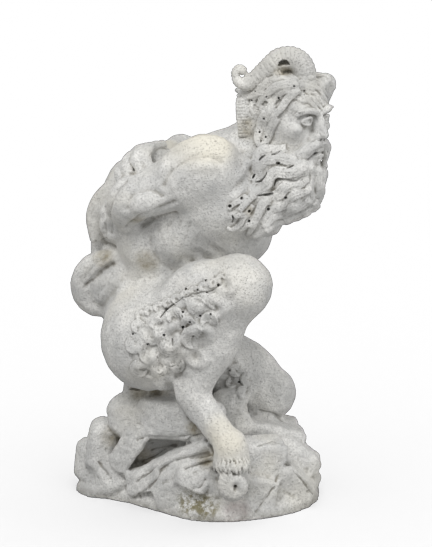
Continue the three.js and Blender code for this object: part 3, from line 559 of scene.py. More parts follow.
@dataclass
class Ear:
    """A goat's ear: a pointed hollow leaf before a thick ridged shell that is broken square at its end."""

    side: Side
    ridges: int = 12
    ridge_pitch: float = 7.4
    ridge_height: float = 6.0
    half_depth: float = 17.0
    heart: Triple = (-66, 84, -8)

    def carve(self, clay: Clay) -> None:
        """Adds the ear."""
        s = self.side.value
        across = HEAD.way(0.72, -0.69 * s, 0)
        face = HEAD.way(0.69, 0.72 * s, 0)
        heart = HEAD.point(self.heart[0], self.heart[1] * s, self.heart[2])
        flatness = self.ridge_height / self.half_depth
        for n in range(self.ridges):
            share = n / (self.ridges - 1)
            height = HEAD.up * (40 - n * self.ridge_pitch)
            outer = heart + (across * (-16 + 9 * share * share) + height - HEAD.up * 3) * MM
            inner = heart + (across * (20 + 10 * share) + height + HEAD.up * 2) * MM
            middle = outer.lerp(inner, 0.5) + face * 3 * MM
            bar = curve_through([outer, middle, inner], 5)
            clay.add(sweep(bar, lambda t: self.half_depth * (0.86 + 0.14 * t) * MM, 12, flatness, HEAD.up))
        tip, belly, foot = (
            heart + (across * 18 + face * 15 + HEAD.up * 43) * MM,
            heart + (across * 29 + face * 24 + HEAD.up * 20) * MM,
            heart + (across * 44 + face * 18 - HEAD.up * 12) * MM,
        )
        clay.add(sweep(curve_through([tip, belly, foot], 8), leaf(14.5, 2.5, 0.8), 14, 0.55, face))
        hollow = [place + face * 8 * MM for place in (tip.lerp(belly, 0.45), belly, belly.lerp(foot, 0.7))]
        clay.cut(sweep(curve_through(hollow, 6), leaf(8, 2), 12, 0.7, face))


@dataclass
class Hair:
    """Locks swept back over the skull in rows, with the long ones round the near temple laid over them."""

    seed: int = 4
    rows: tuple[tuple[float, float, int], ...] = (
        (-74, 150, 11), (-48, 132, 11), (-22, 112, 10), (4, 98, 9), (30, 84, 8), (56, 66, 6),
    )
    run: float = 62.0
    width: float = 21.0
    temple: tuple[Line, ...] = (
        ((222, 1035), (200, 1041), (176, 1041), (156, 1032), (140, 1017), (129, 999), (125, 983)),
        ((227, 1030), (205, 1032), (182, 1028), (165, 1017), (149, 1001), (140, 983)),
        ((227, 1026), (209, 1024), (191, 1017), (176, 1001), (165, 983), (152, 968)),
        ((229, 1021), (216, 1012), (205, 999), (194, 983), (181, 968), (165, 952)),
        ((174, 988), (165, 968), (158, 948), (154, 927), (143, 910)),
        ((156, 970), (147, 952), (143, 932), (136, 912), (141, 892)),
        ((183, 957), (170, 939), (163, 918), (156, 903), (141, 889)),
    )
    brow: tuple[Line, ...] = (
        ((226, 1034), (238, 1040), (252, 1034), (266, 1036), (280, 1024), (294, 1004)),
        ((226, 1028), (240, 1031), (254, 1024), (268, 1024), (280, 1010), (291, 993)),
        ((224, 1022), (236, 1024), (248, 1015), (262, 1014), (274, 1001), (284, 986)),
        ((220, 1014), (231, 1013), (243, 1003), (256, 1003), (268, 991), (279, 979)),
        ((212, 1000), (224, 1003), (237, 995), (250, 995), (263, 984), (273, 974)),
    )
    gap: Line = ((182, 1072), (195, 1080), (209, 1074))
    temple_width: float = 19.0
    brow_width: float = 10.0
    hole_radius: float = 2.6
    hole_depth: float = 14.0
    gap_half_width: float = 8.0
    gap_depth: float = 150.0
    skull_radius: float = 84.0
    skull_reach: float = 118.0
    holes: Line = (
        (134, 1017), (125, 997), (185, 1001), (141, 974), (154, 957), (218, 1028), (240, 1017), (143, 925),
        (158, 1006), (156, 914),
    )

    def on_skull(self, forward: float, angle: float) -> Vector:
        """A place outside the skull, from how far forward it is and its angle from the top in degrees."""
        turn = math.radians(angle)
        radius = self.skull_radius * math.sqrt(max(0.1, 1 - (forward / self.skull_reach) ** 2))
        return HEAD.point(forward - 8, radius * math.sin(turn), 12 + radius * math.cos(turn))

    def carve(self, chisel: Chisel) -> None:
        """Adds the hair."""
        chance = random.Random(self.seed)
        core = HEAD.point(-14, 0, 8)
        for row, (forward, spread, count) in enumerate(self.rows):
            for n in range(count):
                angle = -spread + 2 * spread * (n + 0.5 * (row % 2)) / (count - 0.5)
                start = self.on_skull(forward + chance.uniform(-7, 7), angle)
                fall = 1.06 + 0.1 * abs(angle) / 90
                reach = forward - self.run + chance.uniform(-8, 8)
                end = self.on_skull(reach, angle * fall + chance.uniform(-7, 7))
                if abs(angle) > 84:
                    end += HEAD.way(14, 0, -30) * MM
                phase = chance.uniform(0, 6.3)
                swing = chance.uniform(3.5, 6.5)

                def sway(t: float) -> float:
                    """How far the lock swings to its side."""
                    return swing * math.sin(6.5 * t + phase)

                way = waved(start, end, core, chisel.skin, sway, 12, 12)
                Lock(*way, self.width + chance.uniform(-2, 3), 3, chance.uniform(0, 4)).carve(chisel.clay)
        for n, line in enumerate(self.temple):
            chisel.lock(line, self.temple_width, 3, 5 + 3 * (n % 2))
        for n, line in enumerate(self.brow):
            chisel.lock(line, self.brow_width, 2, 1.5 + 2.5 * (n % 2))
        chisel.slit(self.gap, self.gap_half_width, self.gap_depth)
        for x, z in self.holes:
            chisel.drill(x, z, self.hole_radius, self.hole_depth)


@dataclass
class Beard:
    """Long waving locks from the jaw to the chest, with drilled slits between them, and the moustache.

    The locks of the near side each follow a line of their own. Those of the far side are spread evenly from
    roots along the jaw to tips.
    """

    long_locks: tuple[Line, ...] = (
        ((201, 889), (181, 883), (163, 883), (145, 880), (137, 867), (134, 849), (130, 833)),
        ((224, 867), (206, 862), (186, 867), (170, 864), (154, 860), (143, 846), (139, 831), (126, 815)),
        (
            *((244, 849), (224, 837), (201, 833), (181, 835), (166, 824)),
            *((159, 806), (146, 797), (121, 776), (97, 747)),
        ),
        (
            *((249, 822), (231, 810), (211, 808), (195, 799), (186, 785)),
            *((168, 774), (150, 765), (135, 728), (119, 710)),
        ),
        ((258, 799), (238, 792), (220, 785), (204, 774), (191, 760), (173, 753), (162, 740), (148, 719)),
        ((269, 781), (249, 772), (231, 760), (211, 751), (191, 740), (171, 731), (153, 708)),
        ((276, 762), (254, 751), (231, 742), (207, 731), (182, 721), (157, 699)),
    )
    chin_locks: tuple[Line, ...] = (
        ((241, 862), (244, 840), (244, 817), (233, 799), (213, 792)),
        ((257, 869), (257, 844), (258, 819), (251, 797), (235, 781)),
        ((273, 862), (271, 837), (271, 812), (269, 790), (256, 769)),
        ((284, 844), (284, 822), (280, 799), (276, 776), (263, 758)),
    )
    small_locks: tuple[Line, ...] = (
        ((114, 781), (99, 772), (83, 762), (74, 749)),
        ((128, 760), (112, 740), (94, 737), (81, 728)),
        ((121, 740), (106, 731), (99, 715), (83, 705), (70, 708)),
        ((135, 724), (124, 705), (117, 692)),
    )
    slits: tuple[Line, ...] = (
        ((136, 885), (148, 889), (163, 889)),
        ((141, 858), (148, 867), (161, 871)),
        ((170, 871), (179, 873), (186, 880)),
        ((179, 855), (190, 855)),
        ((204, 844), (210, 846), (219, 851)),
        ((126, 817), (132, 831)),
        ((132, 812), (146, 815), (157, 826), (163, 840)),
        ((175, 803), (179, 815), (190, 819), (211, 817), (226, 819), (240, 826)),
        ((135, 781), (150, 783), (166, 785), (175, 794)),
        ((81, 737), (85, 728), (81, 719)),
    )
    holes: Line = ((101, 776), (119, 747), (119, 724), (76, 758), (162, 751), (200, 778))
    roots: tuple[Triple, ...] = (
        (275, -120, 823), (288, -90, 818), (292, -50, 831), (284, -10, 848), (258, 14, 858),
    )
    tips: tuple[Triple, ...] = (
        (236, -60, 690), (254, -34, 699), (284, -8, 728), (280, 4, 747), (268, 8, 768), (258, 10, 796),
    )
    long_width: float = 28.0
    chin_width: float = 16.0
    small_width: float = 13.0
    slit_half_width: float = 3.4
    hole_radius: float = 3.6
    cut_depth: float = 20.0
    heart: Triple = (176, -50, 790)
    wavelength: float = 78.0
    wave: float = 8.5
    seed: int = 11

    def carve(self, chisel: Chisel) -> None:
        """Adds the beard, the moustache and the whiskers."""
        self.carve_far_side(chisel)
        for line in self.long_locks:
            chisel.lock(line, self.long_width, 4, 4)
        for line in self.chin_locks:
            chisel.lock(line, self.chin_width, 3, 0.5)
        for line in self.small_locks:
            chisel.lock(line, self.small_width, 2, 4)
        for line in self.slits:
            chisel.slit(line, self.slit_half_width, self.cut_depth)
        for x, z in self.holes:
            chisel.drill(x, z, self.hole_radius, self.cut_depth)
        for side in Side:
            self.carve_moustache(chisel.clay, side.value)

    def carve_far_side(self, chisel: Chisel) -> None:
        """Adds two layers of locks from the chin to the far cheek."""
        roots = curve_through([at(*p) for p in self.roots], 16)
        tips = curve_through([at(*p) for p in self.tips], 16)
        chance = random.Random(self.seed)
        core = at(*self.heart)
        for layer, (count, width, lift, reach) in enumerate(((7, 25, -3.0, 1.0), (6, 18, 1.0, 0.92))):
            for n in range(count):
                share = (n + 0.5 - 0.5 * layer) / count
                start = roots[round(share * (len(roots) - 1))]
                end = start.lerp(tips[round(share * (len(tips) - 1))], reach * chance.uniform(0.92, 1.02))
                turns = 2 * math.pi * (end - start).length / MM / self.wavelength
                phase = 7.2 * share + layer * 0.9 + chance.uniform(-0.3, 0.3)
                path, outwards = waved(start, end, core, chisel.skin, self.sway(turns, phase), 20, 22)
                full = width + chance.uniform(-2, 2)
                Lock(path, outwards, full, 4, lift + chance.uniform(-1, 2)).carve(chisel.clay)

    def sway(self, turns: float, phase: float) -> Callable[[float], float]:
        """How far a lock swings from its straight way, more towards its tip."""
        return lambda t: self.wave * (0.55 + 0.6 * t) * math.sin(turns * t + phase)

    def carve_moustache(self, clay: Clay, s: int) -> None:
        """Adds one side of the moustache and the whiskers on its cheek."""
        line = [(104, 5, -49), (101, 18, -55), (92, 34, -68), (80, 47, -88), (72, 52, -108), (70, 62, -122)]
        path = curve_through([HEAD.point(f, l * s, u) for f, l, u in line], 5)
        outwards = [HEAD.way(0.8, 0.6 * s, 0.1).normalized() for _ in path]
        Lock(path, outwards, 19, 4, 3, 0.75).carve(clay)
        lower = curve_through([HEAD.point(f - 3, (l + 1) * s, u - 13) for f, l, u in line[1:]], 5)
        Lock(lower, outwards[: len(lower)], 15, 3, 1, 0.75).carve(clay)


@dataclass(frozen=True)
class Curl:
    """A comma curl: its heart in the upright plane, its outer arc's radius, and its arcs' first angle."""

    x: float
    z: float
    size: float
    start: float = 170.0
    hand: int = 1
    pitch: float = 5.8
    strand: float = 3.3

    def carve(self, chisel: Chisel) -> None:
        """Adds the curl's nested arcs, the inner ones sunk a little."""
        for level in range(max(1, round(self.size / self.pitch))):
            reach = self.size - level * self.pitch
            path = []
            for step in range(12):
                turn = math.radians(self.start + self.hand * (step * 22 - level * 10))
                radius = reach * (1 - 0.02 * step)
                x = self.x + radius * math.cos(turn)
                z = self.z + radius * math.sin(turn)
                met, out = chisel.skin.seen(x, z)
                path.append(met + out * (3.0 - level * 0.7) * MM)
            chisel.clay.add(sweep(evened(path), leaf(self.strand, 1.5, 0.45), 6))


@dataclass
class Curls:
    """A field of comma curls with drilled holes and slits between them."""

    curls: tuple[Curl, ...]
    holes: Line = ()
    slits: tuple[Line, ...] = ()
    hole_depth: float = 18.0
    slit_half_width: float = 2.2
    slit_depth: float = 10.0

    def carve(self, chisel: Chisel) -> None:
        """Adds the curls and cuts the holes."""
        for curl in self.curls:
            curl.carve(chisel)
        for n, (x, z) in enumerate(self.holes):
            chisel.drill(x, z, 2.6 + 0.4 * (n % 3), self.hole_depth)
        for line in self.slits:
            chisel.slit(line, self.slit_half_width, self.slit_depth)


@dataclass
class Hoof:
    """The ringed snail of the near hoof and the ruff of hair over it."""

    heart: Triple = (88, -228, 97)
    radius: float = 27.0
    bar: float = 14.5
    winding: float = 520.0
    narrowing: float = 17.3
    sinking: float = 8.6
    pitch: float = 6.2
    ring_height: float = 2.2
    steps: int = 190
    ruff: Triple = (82, -204, 150)
    ruff_locks: int = 31

    def carve(self, clay: Clay) -> None:
        """Adds the hoof and the ruff."""
        heart = at(*self.heart)
        line = []
        for step in range(self.steps + 1):
            share = step / self.steps
            turn = math.radians(100 + self.winding * share)
            reach = self.radius - self.narrowing * share
            place = Vector((reach * math.cos(turn), -self.sinking * share, reach * math.sin(turn)))
            line.append(heart + place * MM)
        rings = sum((b - a).length for a, b in pairwise(line)) / MM / self.pitch

        def radius(t: float) -> float:
            """The hoof's bar with its growth rings."""
            return (self.bar - 6 * t + self.ring_height * abs(math.sin(math.pi * rings * t))) * MM

        clay.add(sweep(line, radius, 14))
        drill = [heart + Vector((2, -60, 0)) * MM, heart + Vector((2, 4, 0)) * MM]
        clay.cut(sweep(curve_through(drill, 3), tapered(5.0, 4.2), 10))
        self.carve_ruff(clay)

    def carve_ruff(self, clay: Clay) -> None:
        """Adds the tufts that hang over the hoof."""
        middle = at(*self.ruff)
        for n in range(self.ruff_locks):
            turn = math.radians(-190 + n * 200 / (self.ruff_locks - 1))
            out = Vector((math.cos(turn), math.sin(turn), 0))
            root = middle + (out * 35 + Vector((0, 0, 12 - (n * 7 % 5) * 3))) * MM
            bend = root + (out * 6 + Vector((0, 0, -14))) * MM
            tip = root + (out * 1 + Vector((4 if n % 2 else -4, 0, -20 - 4 * (n * 5 % 4)))) * MM
            clay.add(sweep(curve_through([root, bend, tip], 5), leaf(3.2, 1.5), 6))


@dataclass
class Hand:
    """The left hand over the right arm: four bent fingers with knuckles."""

    knuckles: tuple[Triple, ...] = ((-106, -62, 862), (-128, -68, 858), (-150, -70, 842), (-166, -66, 822))
    finger: float = 12.0

    def carve(self, clay: Clay) -> None:
        """Adds the fingers."""
        for x, y, z in self.knuckles:
            bends = ((26, 44, -2), (0, 0, 0), (-9, -26, -14), (-3, -40, -34))
            line = [at(x + along, y + across, z + up) for along, across, up in bends]
            clay.add(sweep(curve_through(line, 6), self.radius, 10))

    def radius(self, t: float) -> float:
        """A finger's radius, thicker at its three joints."""
        return (self.finger - 3 * t + 1.6 * math.cos(2 * math.pi * t * 3) ** 2) * MM


@dataclass(frozen=True)
class Fold:
    """A ridge or a crease: its line, how high it stands or how deep it lies, and its half width."""

    line: Line
    height: float
    width: float

    def press(self, surface: "Surface", ways: np.ndarray, skin: Skin) -> None:
        """Moves the surface along the fold.

        Args:
            surface: the surface.
            ways: the ways out of it.
            skin: the skin that the fold is laid on.
        """
        path, _ = skin.laid(self.line, 4)
        width = self.width * MM
        corners = np.array([tuple(place) for place in path])
        low = corners.min(axis=0) - 3 * width
        high = corners.max(axis=0) + 3 * width
        index = np.nonzero(((surface.places > low) & (surface.places < high)).all(axis=1))[0]
        if not len(index):
            return
        places = surface.places[index]
        near = np.min([near_segment(places, a, b) for a, b in pairwise(path)], axis=0)
        rise = self.height * MM * np.exp(-((near / width) ** 2))
        surface.places[index] = places + ways[index] * rise[:, None]


class Surface:
    """A mesh's places and edges as arrays, for work on every vertex at once."""

    def __init__(self, mesh: bpy.types.Mesh) -> None:
        """Reads the mesh."""
        self.mesh = mesh
        count = len(mesh.vertices)
        places = np.empty(count * 3, np.float32)
        mesh.vertices.foreach_get("co", places)
        self.places = places.reshape(-1, 3).astype(np.float64)
        edges = np.empty(len(mesh.edges) * 2, np.int32)
        mesh.edges.foreach_get("vertices", edges)
        self.edges = edges.reshape(-1, 2)
        self.valence = np.bincount(edges, minlength=count).clip(1)

    def normals(self) -> np.ndarray:
        """The ways out of the surface at its vertices."""
        self.write()
        ways = np.empty(len(self.places) * 3, np.float32)
        self.mesh.vertex_normals.foreach_get("vector", ways)
        return ways.reshape(-1, 3).astype(np.float64)

    def averaged(self, values: np.ndarray) -> np.ndarray:
        """Each vertex's mean of its neighbours' values."""
        if values.ndim > 1:
            return np.stack([self.averaged(column) for column in values.T], axis=1)
        a, b = self.edges.T
        count = len(self.places)
        total = np.bincount(a, values[b], count) + np.bincount(b, values[a], count)
        return total / self.valence

    def blurred(self, values: np.ndarray, rounds: int) -> np.ndarray:
        """Values spread over the surface by rounds of averaging."""
        for _ in range(rounds):
            values = 0.5 * values + 0.5 * self.averaged(values)
        return values

    def soften(self, rounds: int, share: np.ndarray) -> None:
        """Smooths the form without shrinking it.

        Args:
            rounds: how many times.
            share: how much each vertex takes part, from 0 to 1.
        """
        weight = share[:, None]
        for _ in range(rounds):
            for step in (INWARD_SHARE, OUTWARD_SHARE):
                self.places = self.places + weight * step * (self.averaged(self.places) - self.places)

    def write(self) -> None:
        """Puts the places back in the mesh."""
        self.mesh.vertices.foreach_set("co", self.places.astype(np.float32).ravel())
        self.mesh.update()

    def attribute(self, name: str, values: np.ndarray) -> None:
        """Stores a value for each vertex under a name that the stone's finish reads."""
        store = self.mesh.attributes.new(name, "FLOAT", "POINT")
        store.data.foreach_set("value", values.astype(np.float32))


@dataclass(frozen=True)
class Grain:
    """Smooth noise in space, of one lump size and one height in millimetres."""

    seed: int
    size: float
    height: float = 1.0
    cells: int = 48

    def swell(self, places: np.ndarray) -> np.ndarray:
        """How far each place stands out or lies in, in millimetres."""
        return (self.at(places) - 0.5) * self.height

    def at(self, places: np.ndarray) -> np.ndarray:
        """The noise at each place, from 0 to 1."""
        lattice = np.random.default_rng(self.seed).random((self.cells,) * 3)
        grid = places / (self.size * MM) + 1000.0
        low = np.floor(grid).astype(int)
        share = grid - low
        share = share * share * (3 - 2 * share)
        total = np.zeros(len(places))
        for corner in range(8):
            bits = np.array([corner & 1, corner >> 1 & 1, corner >> 2 & 1])
            index = (low + bits) % self.cells
            weight = np.where(bits, share, 1 - share).prod(axis=1)
            total += weight * lattice[index[:, 0], index[:, 1], index[:, 2]]
        return total


def near_segment(places: np.ndarray, start: Vector, end: Vector) -> np.ndarray:
    """How far each place is from a straight stretch, in metres."""
    a, run = np.array(start), np.array(end - start)
    share = ((places - a) @ run / (run @ run)).clip(0, 1)
    return np.linalg.norm(places - a - share[:, None] * run, axis=1)


def ramp(values: np.ndarray, low: float, high: float) -> np.ndarray:
    """A smooth step from 0 at one value to 1 at another."""
    share = ((values - low) / (high - low)).clip(0, 1)
    return share * share * (3 - 2 * share)


# The folds of skin and hide that the viewer sees, and the seams between the rock's slabs.
FOLDS = (
    # The rim and the hollow of the shoulder blade.
    Fold(((-76, 835), (-69, 862), (-49, 885), (-17, 901), (20, 910), (58, 907)), 7, 12),
    Fold(((-71, 808), (-62, 833), (-40, 853), (-9, 867), (27, 871), (58, 862)), -8, 9),
    Fold(((-51, 803), (-31, 828), (0, 844), (36, 846)), 6, 11),
    # The upper arm: its back, the long muscle, and the creases below it.
    Fold(((-156, 817), (-184, 781), (-195, 740), (-191, 694)), -7, 7),
    Fold(((-155, 753), (-148, 778), (-125, 792), (-98, 794), (-76, 781)), -6.5, 7),
    Fold(((-157, 708), (-139, 726), (-114, 740), (-81, 753), (-49, 767)), -7, 7),
    Fold(((-121, 712), (-99, 728), (-72, 737), (-45, 742)), -6, 5.5),
    # The flank and the ribs.
    Fold(((-104, 685), (-99, 657), (-81, 630), (-50, 611)), -5, 8),
    Fold(((-58, 717), (-74, 680), (-81, 643)), -3, 8),
    Fold(((-36, 721), (-52, 680), (-61, 634)), -3.5, 8),
    Fold(((-13, 717), (-27, 676), (-36, 630)), -3.5, 8),
    Fold(((7, 708), (-2, 671), (-9, 634)), -3, 8),
    # The hide and its roll.
    Fold(((-206, 758), (-204, 721), (-205, 694), (-200, 673)), -9, 4.5),
    Fold(((-239, 669), (-216, 673), (-200, 673), (-182, 664)), -9, 5),
    Fold(((-187, 625), (-210, 611), (-228, 595), (-249, 574)), -10, 5),
    Fold(((-222, 774), (-238, 737), (-250, 694)), -5, 6),
    Fold(((-205, 640), (-223, 628), (-241, 609), (-259, 581)), -5, 6),
    Fold(((-191, 605), (-205, 581), (-223, 551)), -5, 7),
)
SEAMS = (
    # The long slab over the dark hollows, and the one below it.
    Fold(((15, 226), (-12, 218), (-36, 203), (-66, 193), (-96, 173), (-126, 158), (-158, 131)), -7, 4),
    Fold(((-140, 111), (-124, 127), (-100, 143), (-80, 162), (-62, 168)), -4.5, 3),
    Fold(((-84, 140), (-56, 159), (-24, 169), (8, 174), (40, 183)), -7, 5),
    Fold(((-136, 212), (-107, 221), (-61, 217), (-15, 222)), -4.5, 5),
    Fold(((-102, 188), (-72, 195), (-47, 198)), -4.5, 4.5),
    Fold(((-24, 145), (8, 152), (40, 159)), -8, 5),
    # The edge of the near shin, the slabs under the knee, and the wedge on the right.
    Fold(((-19, 265), (-1, 246), (15, 226), (31, 198), (38, 169)), -6, 5),
    Fold(((204, 157), (194, 140), (185, 118), (178, 98), (162, 74), (138, 41)), -4.5, 4.5),
    Fold(((206, 155), (222, 143), (232, 128), (250, 110), (262, 92), (281, 75)), -4.5, 4),
    Fold(((116, 284), (134, 286), (150, 279), (174, 275), (192, 265), (233, 241)), -6, 5),
    Fold(((112, 212), (132, 216), (151, 209), (174, 212), (192, 205), (238, 203)), -4, 4.5),
    # The broken lump, the foot of the left slabs, and the seam of the left block.
    Fold(((-24, 97), (-13, 90), (-2, 98), (8, 97), (20, 116)), -5, 4),
    Fold(((-84, 140), (-92, 118), (-107, 104), (-131, 78)), -4.5, 4.5),
    Fold(((-254, 193), (-240, 172), (-231, 166), (-213, 140), (-199, 121)), -5, 5),
)

# The limbs that lie among the rock: where each starts and ends, and how thick it is.
LIMBS = (
    (at(96, -176, 556), at(-8, -150, 296), 62),
    (at(-8, -150, 296), at(80, -196, 182), 42),
    (at(80, -196, 190), at(86, -226, 90), 50),
    (at(176, 92, 260), at(-90, 172, 150), 66),
    (at(-90, 172, 150), at(-250, 146, 50), 42),
    (at(-92, 120, 420), at(176, 92, 240), 100),
    (at(-120, -60, 420), at(-60, -90, 420), 130),
)


# The rock fades into the figure over this distance from a limb, and between these two levels.
ROCK_EDGE = 14 * MM
ROCK_SHOULDER = 250 * MM
ROCK_TOP = 300 * MM


def rockiness(places: np.ndarray) -> np.ndarray:
    """How far each place belongs to the rock, from 0 on the figure to 1 on the rock."""
    clear = np.full(len(places), 1.0)
    for start, end, thick in LIMBS:
        clear = np.minimum(clear, near_segment(places, start, end) - thick * MM)
    below = ramp(-places[:, 2], -ROCK_TOP, -ROCK_SHOULDER)
    return ramp(clear, 0.0, ROCK_EDGE) * below


def modified(mesh: bpy.types.Mesh, kind: str, **settings: object) -> bpy.types.Mesh:
    """A mesh after one modifier.

    Args:
        mesh: the mesh, which is removed.
        kind: the modifier's type.
        **settings: its settings.

    Returns:
        The new mesh.
    """
    block = bpy.data.objects.new("block", mesh)
    bpy.context.scene.collection.objects.link(block)
    modifier = block.modifiers.new("step", kind)
    for name, value in settings.items():
        setattr(modifier, name, value)
    made = bpy.data.meshes.new_from_object(block.evaluated_get(bpy.context.evaluated_depsgraph_get()))
    bpy.data.objects.remove(block)
    bpy.data.meshes.remove(mesh)
    return made


def joined(mesh: bpy.types.Mesh, shapes: bmesh.types.BMesh) -> bpy.types.Mesh:
    """A mesh with gathered shapes put in it, still as separate shells."""
    whole = bmesh.new()
    whole.from_mesh(mesh)
    piece = bpy.data.meshes.new("piece")
    shapes.to_mesh(piece)
    whole.from_mesh(piece)
    whole.to_mesh(mesh)
    whole.free()
    bpy.data.meshes.remove(piece)
    return mesh


THIGH_CURLS = Curls(
    curls=(
        *(Curl(-126 + 20.5 * n, 506 + 9.3 * n, 12.5, 20) for n in range(10)),
        *(Curl(*sizes) for sizes in (
            (-132, 479, 17, 20), (-93, 487, 16, 10), (-50, 504, 22, 0), (0, 527, 24, 10),
            (43, 537, 20, 30), (28, 492, 22, -20), (-20, 487, 17, 10), (-99, 456, 20, 190),
            (-140, 437, 22, 120), (-106, 414, 25, 130), (-60, 438, 28, 160), (-9, 452, 30, 40),
            (-130, 380, 22, 110), (-85, 378, 19, 150), (-42, 390, 18, 170),
        )),
    ),
    holes=(
        (-30, 546), (-30, 514), (-68, 521), (4, 565), (25, 560), (-23, 567), (22, 588), (50, 577),
        (9, 505), (34, 509), (-14, 491), (-30, 479), (-144, 463), (-73, 460), (-110, 439), (-7, 458),
    ),
    slits=(
        ((-55, 453), (-53, 435)),
        ((-92, 413), (-85, 399)),
        ((-64, 385), (-44, 392)),
        ((-83, 369), (-69, 366)),
        ((-46, 535), (-30, 546), (2, 558), (31, 563), (56, 577)),
        ((-82, 500), (-64, 523), (-46, 535)),
    ),
)
INNER_CURLS = Curls(
    curls=(Curl(91, 376, 17, 60), Curl(117, 355, 17, 90), Curl(108, 324, 16, 60), Curl(80, 346, 13, 100)),
    holes=((76, 378), (98, 350)),
)


@dataclass(frozen=True)
class Patch:
    """A place of the stone with a colour of its own: its middle in the upright plane and its radius."""

    x: float
    z: float
    radius: float

    def share(self, places: np.ndarray, skin: Skin) -> np.ndarray:
        """How far each place belongs to the patch, from 0 to 1."""
        met, _ = skin.seen(self.x, self.z)
        return ramp(np.linalg.norm(places - np.array(met), axis=1) / (self.radius * MM), 1.0, 0.35)


# The names that the finish reads, and the patches stored under each.
PATCHES = {
    # The brown patches lie in recesses: brown stain with painted shade.
    "brown": tuple(
        Patch(*sizes) for sizes in (
            (-185, 219, 46), (-130, 169, 48), (20, 167, 34), (-130, 331, 34), (-88, 329, 34),
            (-132, 724, 30), (-1, 241, 34), (115, 935, 34), (119, 747, 18), (192, 1058, 30),
            (-210, 640, 34), (-110, 630, 40),
        )
    ),
    # Painted shade: darker grey patches where shade falls.
    "painted_shade": tuple(
        Patch(*sizes) for sizes in (
            (150, 1045, 60), (225, 1075, 60), (20, 669, 70), (76, 352, 50), (-260, 570, 60),
            (110, 860, 60),
        )
    ),
    "cream": (Patch(20, 913, 110), Patch(65, 224, 70), Patch(-60, 900, 60)),
    "moss": (Patch(-14, 60, 44), Patch(20, 50, 48)),
    "rose": (Patch(92, 38, 46),),
}


# The chisel's lines on the rock, in millimetres: how far apart, how deep and how far they drift.
CHISEL_PITCH = 9
CHISEL_DEPTH = 0.6
CHISEL_DRIFT = 30


